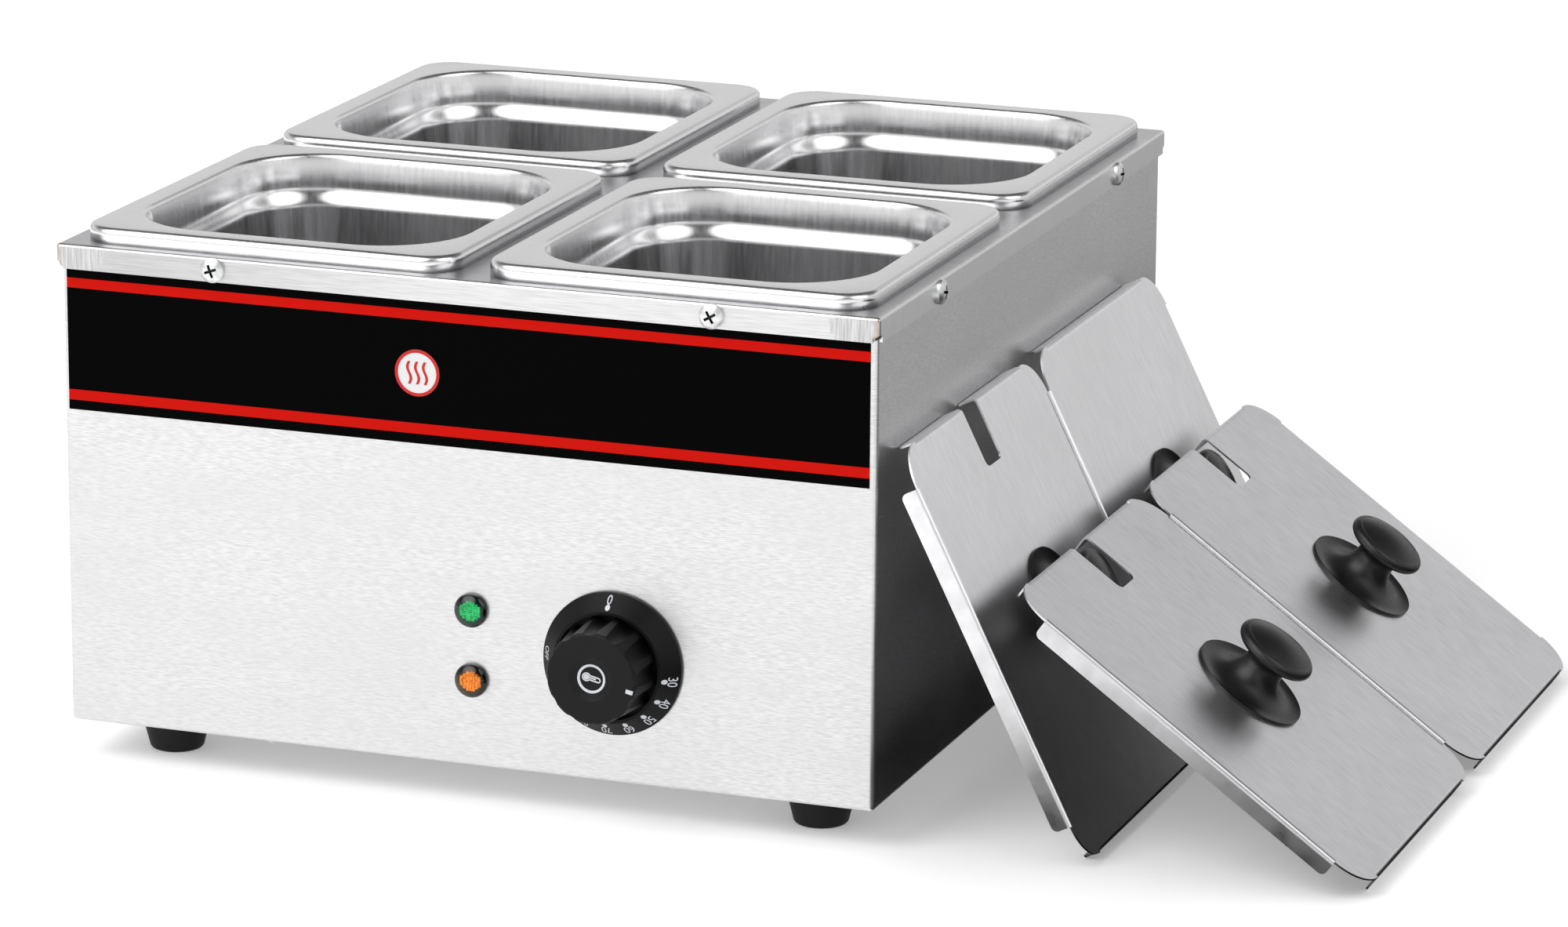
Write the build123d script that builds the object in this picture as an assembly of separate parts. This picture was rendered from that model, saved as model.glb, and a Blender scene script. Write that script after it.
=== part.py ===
from build123d import *
import os
from math import asin, atan2, cos, degrees, radians, sin

# Four-pan topping warmer, in millimetres. +Z is up and the controls face -Y. It is drawn
# about the middle of the case and moved at the end, so that the origin lies on the floor
# under the middle of the warmer and its lids together.

# Pans: one-sixth gastronorm, 176 by 162 nominal, measured over the rim
pan_length = 175.0
pan_width = 162.0
pan_depth = 100.0
pan_sheet = 0.8
pan_flange = 12.0
pan_rim_height = 6.5
pan_rim_bend = 2.5
pan_rim_corner = 15.0
pan_mouth_bend = 4.0
pan_mouth_corner = 36.0
pan_shoulder_drop = 15.0
pan_shoulder_height = 6.0
pan_shoulder_step = 4.0
pan_draft = 4.0
pan_floor_round = 16.0
pan_gap_x = 12.0
pan_gap_y = 15.0
pan_seat_gap = 0.1

# Deck: cap plate with folded lips and one opening for each pan
deck_sheet = 1.2
deck_lip = 10.0
deck_bend = 1.4
deck_lip_corner = 3.0
deck_margin_x = 7.0
deck_margin_y = 5.5
deck_opening_gap = 2.5
deck_screw_inset_x = 69.0
deck_screw_inset_y = 71.0

# Case: front and sides folded from one sheet, a rear panel and a base plate
case_height = 198.5
case_sheet = 0.8
case_bend = 2.0
case_return = 13.0
case_lip_gap_x = 0.3
case_lip_gap_y = 1.2
rear_inset = 1.0
rear_screw_low = 40.0
rear_screw_high = 160.0
base_sheet = 1.0
panel_play = 0.5
base_screw_inset_x = 86.0
base_screw_inset_y = 8.5
vent_length = 34.0
vent_width = 5.0
vent_pitch = 14.0
vent_count = 5
vent_offset_x = 70.0

# Rubber feet and their fixings
foot_height = 17.3
foot_top_radius = 15.2
foot_bottom_radius = 10.8
foot_edge_round = 1.6
foot_inset_x = 32.7
foot_inset_y = 31.0
foot_recess_radius = 6.0
foot_recess_depth = 7.0

# Heating well, hung from the deck, and the tubular element in it
well_sheet = 0.8
well_flange = 5.0
well_margin_x = 4.0
well_margin_y = 2.0
well_corner = 12.0
well_floor_bend = 5.0
well_gap = 26.0
element_radius = 4.0
element_bend = 10.0
element_turn = 25.0
element_bush_height = 6.0
element_bush_radius = 10.0
element_thread_radius = 6.0
element_thread_length = 14.0
element_tail = 22.0
element_nut_flats = 19.0
element_nut_height = 6.0
element_end_x = 30.0
element_end_inset = 28.0
element_side_inset = 32.0
element_inner_x = 50.0
element_inner_inset = 85.0
rest_width = 16.0
rest_foot = 12.0
rest_sheet = 1.0

# Front panel: decal, lamps and the dial, placed from the underside of the well
band_height = 58.5
band_tuck = 2.0
band_thickness = 0.3
band_margin_left = 2.0
band_margin_right = 3.0
lamp_x = 3.7
lamp_drop_green = 14.5
lamp_drop_amber = 43.5
lamp_radius = 7.0
lamp_rim = 1.2
lamp_dome = 4.6
lamp_barrel_radius = 5.2
lamp_holder_length = 24.0
lamp_nut_flats = 15.0
lamp_nut_height = 3.0
lamp_tab_width = 5.0
lamp_tab_sheet = 0.8
lamp_tab_length = 5.0
lamp_tab_apart = 5.0
dial_x = 64.2
dial_drop = 29.9
dial_radius = 29.3
dial_edge = 1.6
dial_crest = 8.0
dial_wall = 1.2
dial_floor = 3.0
knob_reach = 25.0
knob_face_radius = 18.7
knob_base_radius = 20.8
knob_edge_round = 1.4
knob_dish_radius = 9.0
knob_dish_depth = 1.8
knob_flutes = 12
knob_flute_radius = 5.0
knob_flute_depth = 0.8
knob_hub_radius = 7.0
knob_wall = 2.4
knob_lift = 0.8
knob_rest_angle = 102.0
shaft_radius = 3.0
shaft_flat = 1.8
shaft_grip = 14.0
shaft_seat = 18.0

# Thermostat behind the dial
thermostat_width = 38.0
thermostat_tall = 32.0
thermostat_deep = 30.0
yoke_width = 46.0
yoke_tall = 20.0
yoke_sheet = 1.5
yoke_corner = 4.0
thermostat_corner = 2.5
bush_radius = 5.0
bush_reach = 2.5
thermostat_screw_pitch = 28.0
bulb_radius = 3.0
bulb_length = 80.0
bulb_front_inset = 125.0
capillary_radius = 0.9
capillary_bend = 12.0
clip_length = 10.0
clip_sheet = 0.8
clip_ear = 6.0
clip_inset = 15.0

# Terminal block on the base plate
terminal_width = 48.0
terminal_deep = 20.0
terminal_tall = 16.0
terminal_x = -60.0
terminal_y = 60.0
terminal_ways = 3
terminal_pitch = 12.0
terminal_wire_radius = 2.4
terminal_wire_level = 8.0
terminal_screw_seat = 8.0

# Cable gland in the rear panel
gland_x = -100.0
gland_z = 45.0
gland_flats = 22.0
gland_flange = 5.0
gland_thread_radius = 8.0
gland_inner_length = 10.0
gland_outer_length = 8.0
gland_neck_radius = 7.0
gland_cap_length = 15.0
gland_cap_radius = 10.0
gland_mouth_radius = 8.0
gland_bore_radius = 4.2
gland_mouth_round = 1.9
gland_locknut_height = 4.5

# Lids, and the way the four of them lean on the right of the case
lid_sheet = 0.8
lid_clearance = 0.1
lid_flange = 8.0
lid_bend = 2.0
lid_corner = 16.0
lid_flange_round = 2.5
lid_notch_width = 18.0
lid_notch_depth = 26.0
lid_notch_round = 3.0
lid_floor_gap = 0.2
lid_wall_gap = 0.3
lid_knob_gap = 0.65
lid_inner_tilt = 63.5
lid_outer_tilt = 35.5
lid_front_y = -179.0
lid_outer_shift_y = 1.0
lid_row_gap = 3.0
grip_height = 24.5
grip_base_radius = 24.0
grip_base_edge = 1.2
grip_neck_radius = 8.6
grip_neck_height = 11.0
grip_head_radius = 16.8
grip_head_edge = 2.6
grip_head_crown = 3.4
grip_screw_depth = 14.0

# Screws: radius of the thread, radius and height of the head
case_screw = 2.4
case_screw_head = 5.0
case_screw_head_height = 3.0
case_screw_length = 8.0
case_screw_bevel = 1.4
small_screw = 1.95
small_screw_head = 3.6
small_screw_head_height = 2.2
small_screw_length = 6.0
small_screw_bevel = 1.0
foot_screw = 2.5
foot_screw_head = 4.6
foot_screw_head_height = 3.0
foot_screw_bevel = 1.0
foot_nut_flats = 8.0
foot_nut_height = 4.0
hole_gap = 0.3
thread_gap = 0.05

# Levels and faces that follow from the sizes above
deck_width = 2 * pan_width + pan_gap_x + 2 * deck_margin_x
deck_depth = 2 * pan_length + pan_gap_y + 2 * deck_margin_y
case_width = deck_width - 2 * (deck_sheet + case_lip_gap_x)
case_depth = deck_depth - 2 * (deck_sheet + case_lip_gap_y)
case_bottom = foot_height - case_sheet
case_top = case_bottom + case_height
deck_top = case_top + deck_sheet
rim_top = deck_top + pan_seat_gap + pan_rim_height
pan_bottom = rim_top - pan_depth
front_face = -case_depth / 2
rear_face = case_depth / 2
side_face = case_width / 2
lip_screw_z = deck_top - deck_lip / 2
base_low = foot_height
base_top = base_low + base_sheet
mouth_x = pan_width - 2 * pan_flange
mouth_y = pan_length - 2 * pan_flange
body_x = mouth_x + 2 * pan_sheet
body_y = mouth_y + 2 * pan_sheet
pan_x = (pan_width + pan_gap_x) / 2
pan_y = (pan_length + pan_gap_y) / 2
opening_x = body_x + 2 * deck_opening_gap
opening_y = body_y + 2 * deck_opening_gap
well_inner_x = 2 * pan_x + opening_x + 2 * well_margin_x
well_inner_y = 2 * pan_y + opening_y + 2 * well_margin_y
well_floor = pan_bottom - well_gap
well_under = well_floor - well_sheet
green_z = well_under - lamp_drop_green
amber_z = well_under - lamp_drop_amber
dial_z = well_under - dial_drop
lid_length = pan_length + 2 * (lid_clearance + lid_sheet)
lid_width = pan_width + 2 * (lid_clearance + lid_sheet)
pan_places = {
    "front_left": (-pan_x, -pan_y),
    "front_right": (pan_x, -pan_y),
    "rear_left": (-pan_x, pan_y),
    "rear_right": (pan_x, pan_y),
}
foot_places = [
    (sx * (side_face - foot_inset_x), sy * (rear_face - foot_inset_y))
    for sx in (-1, 1)
    for sy in (-1, 1)
]


def front_plane(x, z):
    """Plane on the front face, with its z pointing out of the panel and its y up."""
    return Plane(origin=(x, front_face, z), x_dir=(1, 0, 0), z_dir=(0, -1, 0))


def rear_plane(x, z):
    """Plane on the rear face, with its z pointing out of the panel and its y up."""
    return Plane(origin=(x, rear_face, z), x_dir=(-1, 0, 0), z_dir=(0, 1, 0))


def column(radius, low, high):
    """Upright cylinder between two levels."""
    return Pos(0, 0, low) * extrude(Circle(radius), high - low)


def block(x_low, x_high, y_low, y_high, z_low, z_high):
    """Box between two corners."""
    size = (x_high - x_low, y_high - y_low, z_high - z_low)
    centre = ((x_low + x_high) / 2, (y_low + y_high) / 2, (z_low + z_high) / 2)
    return Pos(*centre) * Box(*size)


def rounded_block(x_size, y_size, corner, z_low, z_high):
    """Prism on a rectangle with rounded corners."""
    return Pos(0, 0, z_low) * extrude(RectangleRounded(x_size, y_size, corner), z_high - z_low)


def turned(points):
    """Solid of revolution about Z from a closed outline of (radius, height) points."""
    outline = Polyline(*[(r, 0, z) for r, z in points], close=True)
    return revolve(make_face(outline), Axis.Z)


def crown(radius, low, high):
    """Arc of a ball centred on the axis, from the edge of a dome up to its top."""
    rise = high - low
    ball = (radius ** 2 + rise ** 2) / (2 * rise)
    span = degrees(asin(radius / ball))
    return CenterArc((0, high - ball), ball, 90 - span, span)


def hexagon(flats, low, high):
    """Hexagonal prism between two levels, measured across its flats."""
    return Pos(0, 0, low) * extrude(RegularPolygon(flats / 2, 6, major_radius=False), high - low)


def pan_head_screw(radius, head, head_height, bevel, length):
    """Screw along -Z from the seat of its head at z = 0, with a bevelled head above."""
    return turned([(0, -length), (radius, -length), (radius, 0), (head, 0),
                   (head, head_height - bevel), (head - bevel, head_height), (0, head_height)])


def case_fixing(length):
    """Screw that holds sheet metal, of the given length under its head."""
    return pan_head_screw(case_screw, case_screw_head, case_screw_head_height, case_screw_bevel,
                          length)


def small_fixing(length):
    """Screw that holds fittings, of the given length under its head."""
    return pan_head_screw(small_screw, small_screw_head, small_screw_head_height,
                          small_screw_bevel, length)


# Pans

def narrowing(x_size, y_size, corner, top, height, slope):
    """Drawn form below a level, which narrows downwards on all sides."""
    mouth = Plane(origin=(0, 0, top), x_dir=(1, 0, 0), z_dir=(0, 0, -1))
    return extrude(mouth * RectangleRounded(x_size, y_size, corner), height, taper=slope)


def drawn_body(x_size, y_size, corner, depth, floor_round):
    """Body under the mouth: straight wall, sloped shoulder and tapered lower wall."""
    slope = degrees(atan2(pan_shoulder_step, pan_shoulder_height))
    low = -pan_shoulder_drop - pan_shoulder_height
    step = 2 * pan_shoulder_step
    lower = narrowing(x_size - step, y_size - step, corner - pan_shoulder_step, low, depth + low,
                      pan_draft)
    lower = fillet(lower.faces().sort_by(Axis.Z)[0].edges(), floor_round)
    shoulder = narrowing(x_size, y_size, corner, -pan_shoulder_drop, pan_shoulder_height, slope)
    return rounded_block(x_size, y_size, corner, -pan_shoulder_drop, 0) + shoulder + lower


def make_pan():
    """Deep-drawn pan with its rim top at z = 0: folded rim, mouth and the body under it."""
    body_corner = pan_mouth_corner + pan_sheet
    rim = rounded_block(pan_width, pan_length, pan_rim_corner, -pan_rim_height, 0)
    rim = fillet(rim.faces().sort_by(Axis.Z)[-1].edges(), pan_rim_bend)
    under_rim = rounded_block(pan_width - 2 * pan_sheet, pan_length - 2 * pan_sheet,
                              pan_rim_corner - pan_sheet, -pan_rim_height, -pan_sheet)
    under_rim -= rounded_block(body_x, body_y, body_corner, -pan_rim_height, -pan_sheet)
    ceiling = under_rim.faces().sort_by(Axis.Z)[-1]
    outer_edges = ceiling.outer_wire().edges()
    under_rim = fillet(outer_edges, pan_rim_bend - pan_sheet)
    ceiling = under_rim.faces().sort_by(Axis.Z)[-1]
    inner_edges = ceiling.inner_wires()[0].edges()
    under_rim = fillet(inner_edges, pan_mouth_bend - pan_sheet)

    body = drawn_body(body_x, body_y, body_corner, pan_depth, pan_floor_round)
    hollow = drawn_body(mouth_x, mouth_y, pan_mouth_corner, pan_depth - pan_sheet,
                        pan_floor_round - pan_sheet)
    pan = rim - under_rim + (body - block(-pan_width, pan_width, -pan_length, pan_length,
                                          -pan_sheet, 0)) - hollow
    mouth = pan.faces().sort_by(Axis.Z)[-1].inner_wires()[0]
    return fillet(mouth.edges(), pan_mouth_bend)


# Deck and case

def lip_screw_places():
    """Planes at the seats of the deck screws, with z pointing out of each lip."""
    x_place = deck_width / 2 - deck_screw_inset_x
    y_place = deck_depth / 2 - deck_screw_inset_y
    places = []
    for s in (-1, 1):
        places.append(Plane((s * x_place, -deck_depth / 2, lip_screw_z), (1, 0, 0), (0, -1, 0)))
        places.append(Plane((s * x_place, deck_depth / 2, lip_screw_z), (1, 0, 0), (0, 1, 0)))
        places.append(Plane((-deck_width / 2, s * y_place, lip_screw_z), (0, 1, 0), (-1, 0, 0)))
        places.append(Plane((deck_width / 2, s * y_place, lip_screw_z), (0, 1, 0), (1, 0, 0)))
    return places


def lip_screw_holes():
    """Clearance holes for the deck screws, through the lips and the walls behind them."""
    drill = column(case_screw + hole_gap, -case_screw_length, case_screw_length)
    return [place * drill for place in lip_screw_places()]


def make_deck():
    """Cap plate with four folded lips, ground round at the lower corners."""
    deck = block(-deck_width / 2, deck_width / 2, -deck_depth / 2, deck_depth / 2,
                 deck_top - deck_lip, deck_top)
    deck = fillet(deck.edges().filter_by(Axis.Z) + deck.faces().sort_by(Axis.Z)[-1].edges(),
                  deck_bend)
    inner_x = deck_width / 2 - deck_sheet
    inner_y = deck_depth / 2 - deck_sheet
    deck -= block(-inner_x, inner_x, -inner_y, inner_y, deck_top - deck_lip, case_top)
    opening = rounded_block(opening_x, opening_y,
                            pan_mouth_corner + pan_sheet + deck_opening_gap, case_top, deck_top)
    for x, y in pan_places.values():
        deck -= Pos(x, y, 0) * opening
    r = deck_lip_corner
    for sx in (-1, 1):
        for sy in (-1, 1):
            centre = (sx * (deck_width / 2 - r), sy * (deck_depth / 2 - r), deck_top - deck_lip + r)
            half = Pos(centre[0] + sx * r / 2, centre[1] + sy * r / 2, centre[2] - r / 2)
            deck -= half * Box(r, r, r) - Pos(*centre) * Sphere(r)
    for hole in lip_screw_holes():
        deck -= hole
    return deck


def base_screw_places():
    """Points under the turned-in front and rear edges where the base plate is screwed."""
    x = side_face - base_screw_inset_x
    y = rear_face - base_screw_inset_y
    return [(sx * x, sy * y) for sx in (-1, 1) for sy in (-1, 1)]


def rear_screw_places():
    """Planes at the seats of the rear panel's screws."""
    x = side_face - case_return / 2 - rear_inset / 2
    heights = (case_bottom + rear_screw_low, case_bottom + rear_screw_high)
    return [rear_plane(sx * x, z) for sx in (-1, 1) for z in heights]


def make_case_wrap():
    """Front and sides folded from one sheet, turned in along the bottom and the rear."""
    wrap_rear = rear_face - case_sheet
    wrap = block(-side_face, side_face, front_face, wrap_rear, case_bottom, case_top)
    wrap = fillet(wrap.edges().filter_by(Axis.Z) + wrap.faces().sort_by(Axis.Z)[0].edges(),
                  case_bend)
    inside = block(-side_face + case_sheet, side_face - case_sheet, front_face + case_sheet,
                   wrap_rear - case_sheet, case_bottom + case_sheet, case_top)
    inside = fillet(inside.edges().filter_by(Axis.Z) + inside.faces().sort_by(Axis.Z)[0].edges(),
                    case_bend - case_sheet)
    wrap -= inside
    open_x = side_face - case_return
    wrap -= block(-open_x, open_x, front_face + case_return, rear_face, case_bottom,
                  case_bottom + 2 * case_bend)
    wrap -= block(-open_x, open_x, wrap_rear - 2 * case_bend, rear_face, case_bottom, case_top)
    dial = front_plane(dial_x, dial_z)
    wrap -= dial * column(bush_radius + hole_gap, -2 * case_sheet, case_sheet)
    for sx in (-1, 1):
        shift = Pos(sx * thermostat_screw_pitch / 2, 0, 0)
        wrap -= dial * shift * column(small_screw + hole_gap, -2 * case_sheet, case_sheet)
    for level in (green_z, amber_z):
        lamp = front_plane(lamp_x, level)
        wrap -= lamp * column(lamp_barrel_radius + hole_gap, -2 * case_sheet, case_sheet)
    for hole in lip_screw_holes():
        wrap -= hole
    for x, y in base_screw_places():
        wrap -= Pos(x, y, 0) * column(small_screw + hole_gap, case_bottom, base_low)
    for place in rear_screw_places():
        wrap -= place * column(case_screw + hole_gap, -case_screw_length, case_sheet)
    return wrap


def make_rear_panel():
    """Flat sheet over the open back, with its bottom edge turned in under the base plate."""
    half = side_face - rear_inset
    turned_in = side_face - case_return - panel_play
    panel = block(-half, half, rear_face - case_sheet, rear_face, case_bottom, case_top)
    panel += block(-turned_in, turned_in, rear_face - case_return, rear_face,
                   case_bottom, base_low)
    panel -= rear_plane(gland_x, gland_z) * column(gland_thread_radius + hole_gap,
                                                    -2 * case_sheet, case_sheet)
    for place in rear_screw_places():
        panel -= place * column(case_screw + hole_gap, -2 * case_sheet, case_sheet)
    for hole in lip_screw_holes():
        panel -= hole
    for x, y in base_screw_places():
        panel -= Pos(x, y, 0) * column(small_screw + hole_gap, case_bottom, base_low)
    return panel


def make_base_plate():
    """Plate resting on the turned-in edges, with two rows of vent slots."""
    inset = case_bend + panel_play
    x = side_face - inset
    plate = block(-x, x, front_face + inset, rear_face - case_sheet - inset, base_low, base_top)
    slot = extrude(SlotOverall(vent_length, vent_width), base_sheet)
    for sx in (-1, 1):
        for i in range(vent_count):
            y = (i - (vent_count - 1) / 2) * vent_pitch
            plate -= Pos(sx * vent_offset_x, y - vent_pitch, base_low) * slot
    for x, y in foot_places:
        plate -= Pos(x, y, 0) * column(foot_screw + hole_gap, base_low, base_top)
    for x, y in base_screw_places():
        plate -= Pos(x, y, 0) * column(small_screw + thread_gap, base_low, base_top)
    for x, y in terminal_screw_places():
        plate -= Pos(x, y, 0) * column(small_screw + thread_gap, base_low, base_top)
    return plate


def make_deck_screws():
    return [place * case_fixing(case_screw_length) for place in lip_screw_places()]


def make_rear_screws():
    return [place * case_fixing(case_screw_length) for place in rear_screw_places()]


def make_base_screws():
    screw = Rot(180, 0, 0) * small_fixing(small_screw_length)
    return [Pos(x, y, case_bottom) * screw for x, y in base_screw_places()]


# Feet

def make_feet():
    """Tapered rubber feet with a rounded tread and a recess for the screw."""
    slope = (foot_top_radius - foot_bottom_radius) / foot_height
    edge_radius = foot_bottom_radius + slope * foot_edge_round
    with BuildPart() as foot:
        with BuildSketch(Plane.XZ):
            with BuildLine():
                tread = Line((0, 0), (foot_bottom_radius - foot_edge_round, 0))
                side = Line((edge_radius, foot_edge_round), (foot_top_radius, foot_height))
                TangentArc(tread @ 1, side @ 0, tangent=tread % 1)
                Polyline(side @ 1, (0, foot_height), (0, 0))
            make_face()
        revolve(axis=Axis.Z)
    solid = foot.part - column(foot_recess_radius, 0, foot_recess_depth)
    solid -= column(foot_screw + hole_gap, 0, foot_height)
    return [Pos(x, y, 0) * solid for x, y in foot_places]


def make_foot_screws():
    length = base_top + foot_nut_height - foot_recess_depth
    screw = Rot(180, 0, 0) * pan_head_screw(foot_screw, foot_screw_head, foot_screw_head_height,
                                            foot_screw_bevel, length)
    return [Pos(x, y, foot_recess_depth) * screw for x, y in foot_places]


def make_foot_nuts():
    nut = hexagon(foot_nut_flats, base_top, base_top + foot_nut_height)
    nut -= column(foot_screw + thread_gap, base_top, base_top + foot_nut_height)
    return [Pos(x, y, 0) * nut for x, y in foot_places]


# Heating well and element

element_z = well_floor + element_bush_height + element_bend
element_end_y = -well_inner_y / 2 + element_end_inset
element_low = well_under - element_tail


def make_well():
    """Folded tank under the deck, with a flange welded to the deck's underside."""
    outer_x = well_inner_x + 2 * well_sheet
    outer_y = well_inner_y + 2 * well_sheet
    tank = rounded_block(outer_x, outer_y, well_corner + well_sheet, well_under, case_top)
    tank = fillet(tank.faces().sort_by(Axis.Z)[0].edges(), well_floor_bend + well_sheet)
    tank += rounded_block(outer_x + 2 * well_flange, outer_y + 2 * well_flange,
                          well_corner + well_sheet + well_flange, case_top - well_sheet, case_top)
    hollow = rounded_block(well_inner_x, well_inner_y, well_corner, well_floor, case_top)
    tank -= fillet(hollow.faces().sort_by(Axis.Z)[0].edges(), well_floor_bend)
    for sx in (-1, 1):
        hole = column(element_thread_radius + hole_gap, well_under, well_floor)
        tank -= Pos(sx * element_end_x, element_end_y, 0) * hole
    return tank


def element_route():
    """Centre line of the element: two legs through the floor and a flat run of four passes."""
    side_x = well_inner_x / 2 - element_side_inset
    back_y = well_inner_y / 2 - element_side_inset
    front_y = -well_inner_y / 2 + element_inner_inset
    half = [
        (element_end_x, element_end_y, element_low),
        (element_end_x, element_end_y, element_z),
        (side_x, element_end_y, element_z),
        (side_x, back_y, element_z),
        (element_inner_x, back_y, element_z),
        (element_inner_x, front_y, element_z),
    ]
    points = half + [(-x, y, z) for x, y, z in reversed(half)]
    turns = len(points) - 4
    return FilletPolyline(*points, radius=[element_bend] + [element_turn] * turns + [element_bend])


def make_heating_element():
    route = element_route()
    start = Plane(origin=route @ 0, z_dir=route % 0)
    return sweep(start * Circle(element_radius), path=route)


def make_element_bushes():
    """Threaded bushes brazed on the element's legs, with a collar inside the well."""
    bush = column(element_bush_radius, well_floor, well_floor + element_bush_height)
    bush += column(element_thread_radius, well_under - element_thread_length, well_floor)
    bush -= column(element_radius + thread_gap, well_under - element_thread_length,
                   well_floor + element_bush_height)
    return [Pos(sx * element_end_x, element_end_y, 0) * bush for sx in (-1, 1)]


def make_element_nuts():
    nut = hexagon(element_nut_flats, well_under - element_nut_height, well_under)
    nut -= column(element_thread_radius + thread_gap, well_under - element_nut_height, well_under)
    return [Pos(sx * element_end_x, element_end_y, 0) * nut for sx in (-1, 1)]


def make_element_rests():
    """Bent strips that carry the element's long passes, notched for the tube."""
    upright = block(-rest_width / 2, rest_width / 2, 0, rest_sheet, well_floor, element_z)
    foot = block(-rest_width / 2, rest_width / 2, 0, rest_foot, well_floor,
                 well_floor + rest_sheet)
    notch = Pos(0, rest_sheet / 2, element_z) * Rot(90, 0, 0) * Cylinder(
        element_radius + thread_gap, 2 * rest_sheet)
    rest = upright + foot - notch
    side_x = well_inner_x / 2 - element_side_inset
    return [Pos(x, 0, 0) * rest for x in (-side_x, -element_inner_x, element_inner_x, side_x)]


# Thermostat, dial and lamps

dial_plane = front_plane(dial_x, dial_z)
cup_radius = knob_base_radius + knob_lift
knob_back = dial_floor + knob_lift


def make_thermostat_body():
    """Moulded body on a steel yoke, with a bush for the shaft through the panel."""
    back = -case_sheet - yoke_sheet
    yoke = block(-yoke_width / 2, yoke_width / 2, -yoke_tall / 2, yoke_tall / 2, back, -case_sheet)
    yoke = fillet(yoke.edges().filter_by(Axis.Z), yoke_corner)
    body = block(-thermostat_width / 2, thermostat_width / 2, -thermostat_tall / 2,
                 thermostat_tall / 2, back - thermostat_deep, back)
    body = fillet(body.edges().filter_by(Axis.Z), thermostat_corner)
    body += yoke + column(bush_radius, back, bush_reach)
    body -= column(shaft_radius + thread_gap, -shaft_seat, bush_reach)
    for sx in (-1, 1):
        drill = column(small_screw + thread_gap, -small_screw_length - hole_gap, 0)
        body -= Pos(sx * thermostat_screw_pitch / 2, 0, 0) * drill
    return dial_plane * body


def make_thermostat_screws():
    screw = small_fixing(small_screw_length)
    return [dial_plane * Pos(sx * thermostat_screw_pitch / 2, 0, 0) * screw for sx in (-1, 1)]


def make_thermostat_shaft():
    """Shaft with a flat where the knob grips it."""
    tip = knob_back + shaft_grip
    shaft = column(shaft_radius, -shaft_seat, tip)
    cut = block(-shaft_radius, shaft_radius, shaft_flat, shaft_radius, knob_back, tip)
    return dial_plane * Rot(0, 0, -knob_rest_angle) * (shaft - cut)


def make_dial_bezel():
    """Dished bezel: a cone for the marks round a cup that the knob sits in."""
    bezel = turned([
        (bush_radius + hole_gap, 0), (dial_radius, 0), (dial_radius, dial_edge),
        (cup_radius + dial_wall, dial_crest), (cup_radius, dial_crest),
        (cup_radius, dial_floor), (bush_radius + hole_gap, dial_floor),
    ])
    for sx in (-1, 1):
        shift = Pos(sx * thermostat_screw_pitch / 2, 0, 0)
        bezel -= shift * column(small_screw_head + hole_gap, 0, dial_floor)
    return dial_plane * bezel


def make_control_knob():
    """Tapered, fluted knob, dished in front and hollow behind round its hub."""
    knob = turned([(0, knob_back), (knob_base_radius, knob_back), (knob_face_radius, knob_reach),
                   (0, knob_reach)])
    knob = fillet(knob.edges().sort_by(Axis.Z)[-1], knob_edge_round)
    flute_centre = knob_face_radius - knob_flute_depth + knob_flute_radius
    flute = column(knob_flute_radius, knob_back, knob_reach)
    for place in PolarLocations(flute_centre, knob_flutes, start_angle=180 / knob_flutes):
        knob -= place * flute
    ball = (knob_dish_radius ** 2 + knob_dish_depth ** 2) / (2 * knob_dish_depth)
    knob -= Pos(0, 0, knob_reach - knob_dish_depth + ball) * Sphere(ball)
    hollow_radius = knob_face_radius - knob_flute_depth - knob_wall
    hollow_top = knob_back + shaft_grip
    knob -= column(hollow_radius, knob_back, hollow_top) - column(knob_hub_radius, knob_back,
                                                                  hollow_top)
    bore = column(shaft_radius, knob_back, hollow_top)
    bore -= block(-shaft_radius, shaft_radius, shaft_flat, shaft_radius, knob_back, hollow_top)
    knob -= bore
    return dial_plane * Rot(0, 0, -knob_rest_angle) * knob


def make_capillary():
    """Sensing bulb under the well, with its capillary to the back of the thermostat."""
    bulb_z = well_under - bulb_radius
    bulb_y = front_face + bulb_front_inset
    thermostat_back = front_face + case_sheet + yoke_sheet + thermostat_deep
    run = (bulb_y - thermostat_back) / 3
    route = FilletPolyline(
        (dial_x, thermostat_back, dial_z), (dial_x, thermostat_back + run, dial_z),
        (dial_x, bulb_y - run, bulb_z), (dial_x, bulb_y, bulb_z), radius=capillary_bend)
    start = Plane(origin=route @ 0, z_dir=route % 0)
    tube = sweep(start * Circle(capillary_radius), path=route)
    bulb = Plane(origin=(dial_x, bulb_y, bulb_z), z_dir=(0, 1, 0)) * column(bulb_radius, 0,
                                                                            bulb_length)
    return tube + bulb


def make_bulb_clips():
    """Saddle strips that hold the bulb against the underside of the well."""
    inner = bulb_radius + thread_gap
    outer = inner + clip_sheet
    saddle = Circle(outer) + Pos(0, outer / 2) * Rectangle(2 * outer, outer)
    saddle -= Circle(inner) + Pos(0, outer / 2) * Rectangle(2 * inner, outer)
    level = bulb_radius
    ear = Pos(0, level - clip_sheet / 2) * Rectangle(2 * (outer + clip_ear), clip_sheet)
    ear -= Pos(0, level) * Rectangle(2 * inner, 4 * clip_sheet)
    below = Pos(0, level - 2 * outer) * Rectangle(2 * (outer + clip_ear), 4 * outer)
    profile = (saddle & below) + ear
    bulb_z = well_under - bulb_radius
    first = front_face + bulb_front_inset + clip_inset
    second = first + bulb_length - 2 * clip_inset - clip_length
    face = Plane(origin=(dial_x, 0, bulb_z), x_dir=(-1, 0, 0), z_dir=(0, 1, 0)) * profile
    return [Pos(0, y, 0) * extrude(face, clip_length, dir=(0, 1, 0)) for y in (first, second)]


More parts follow.
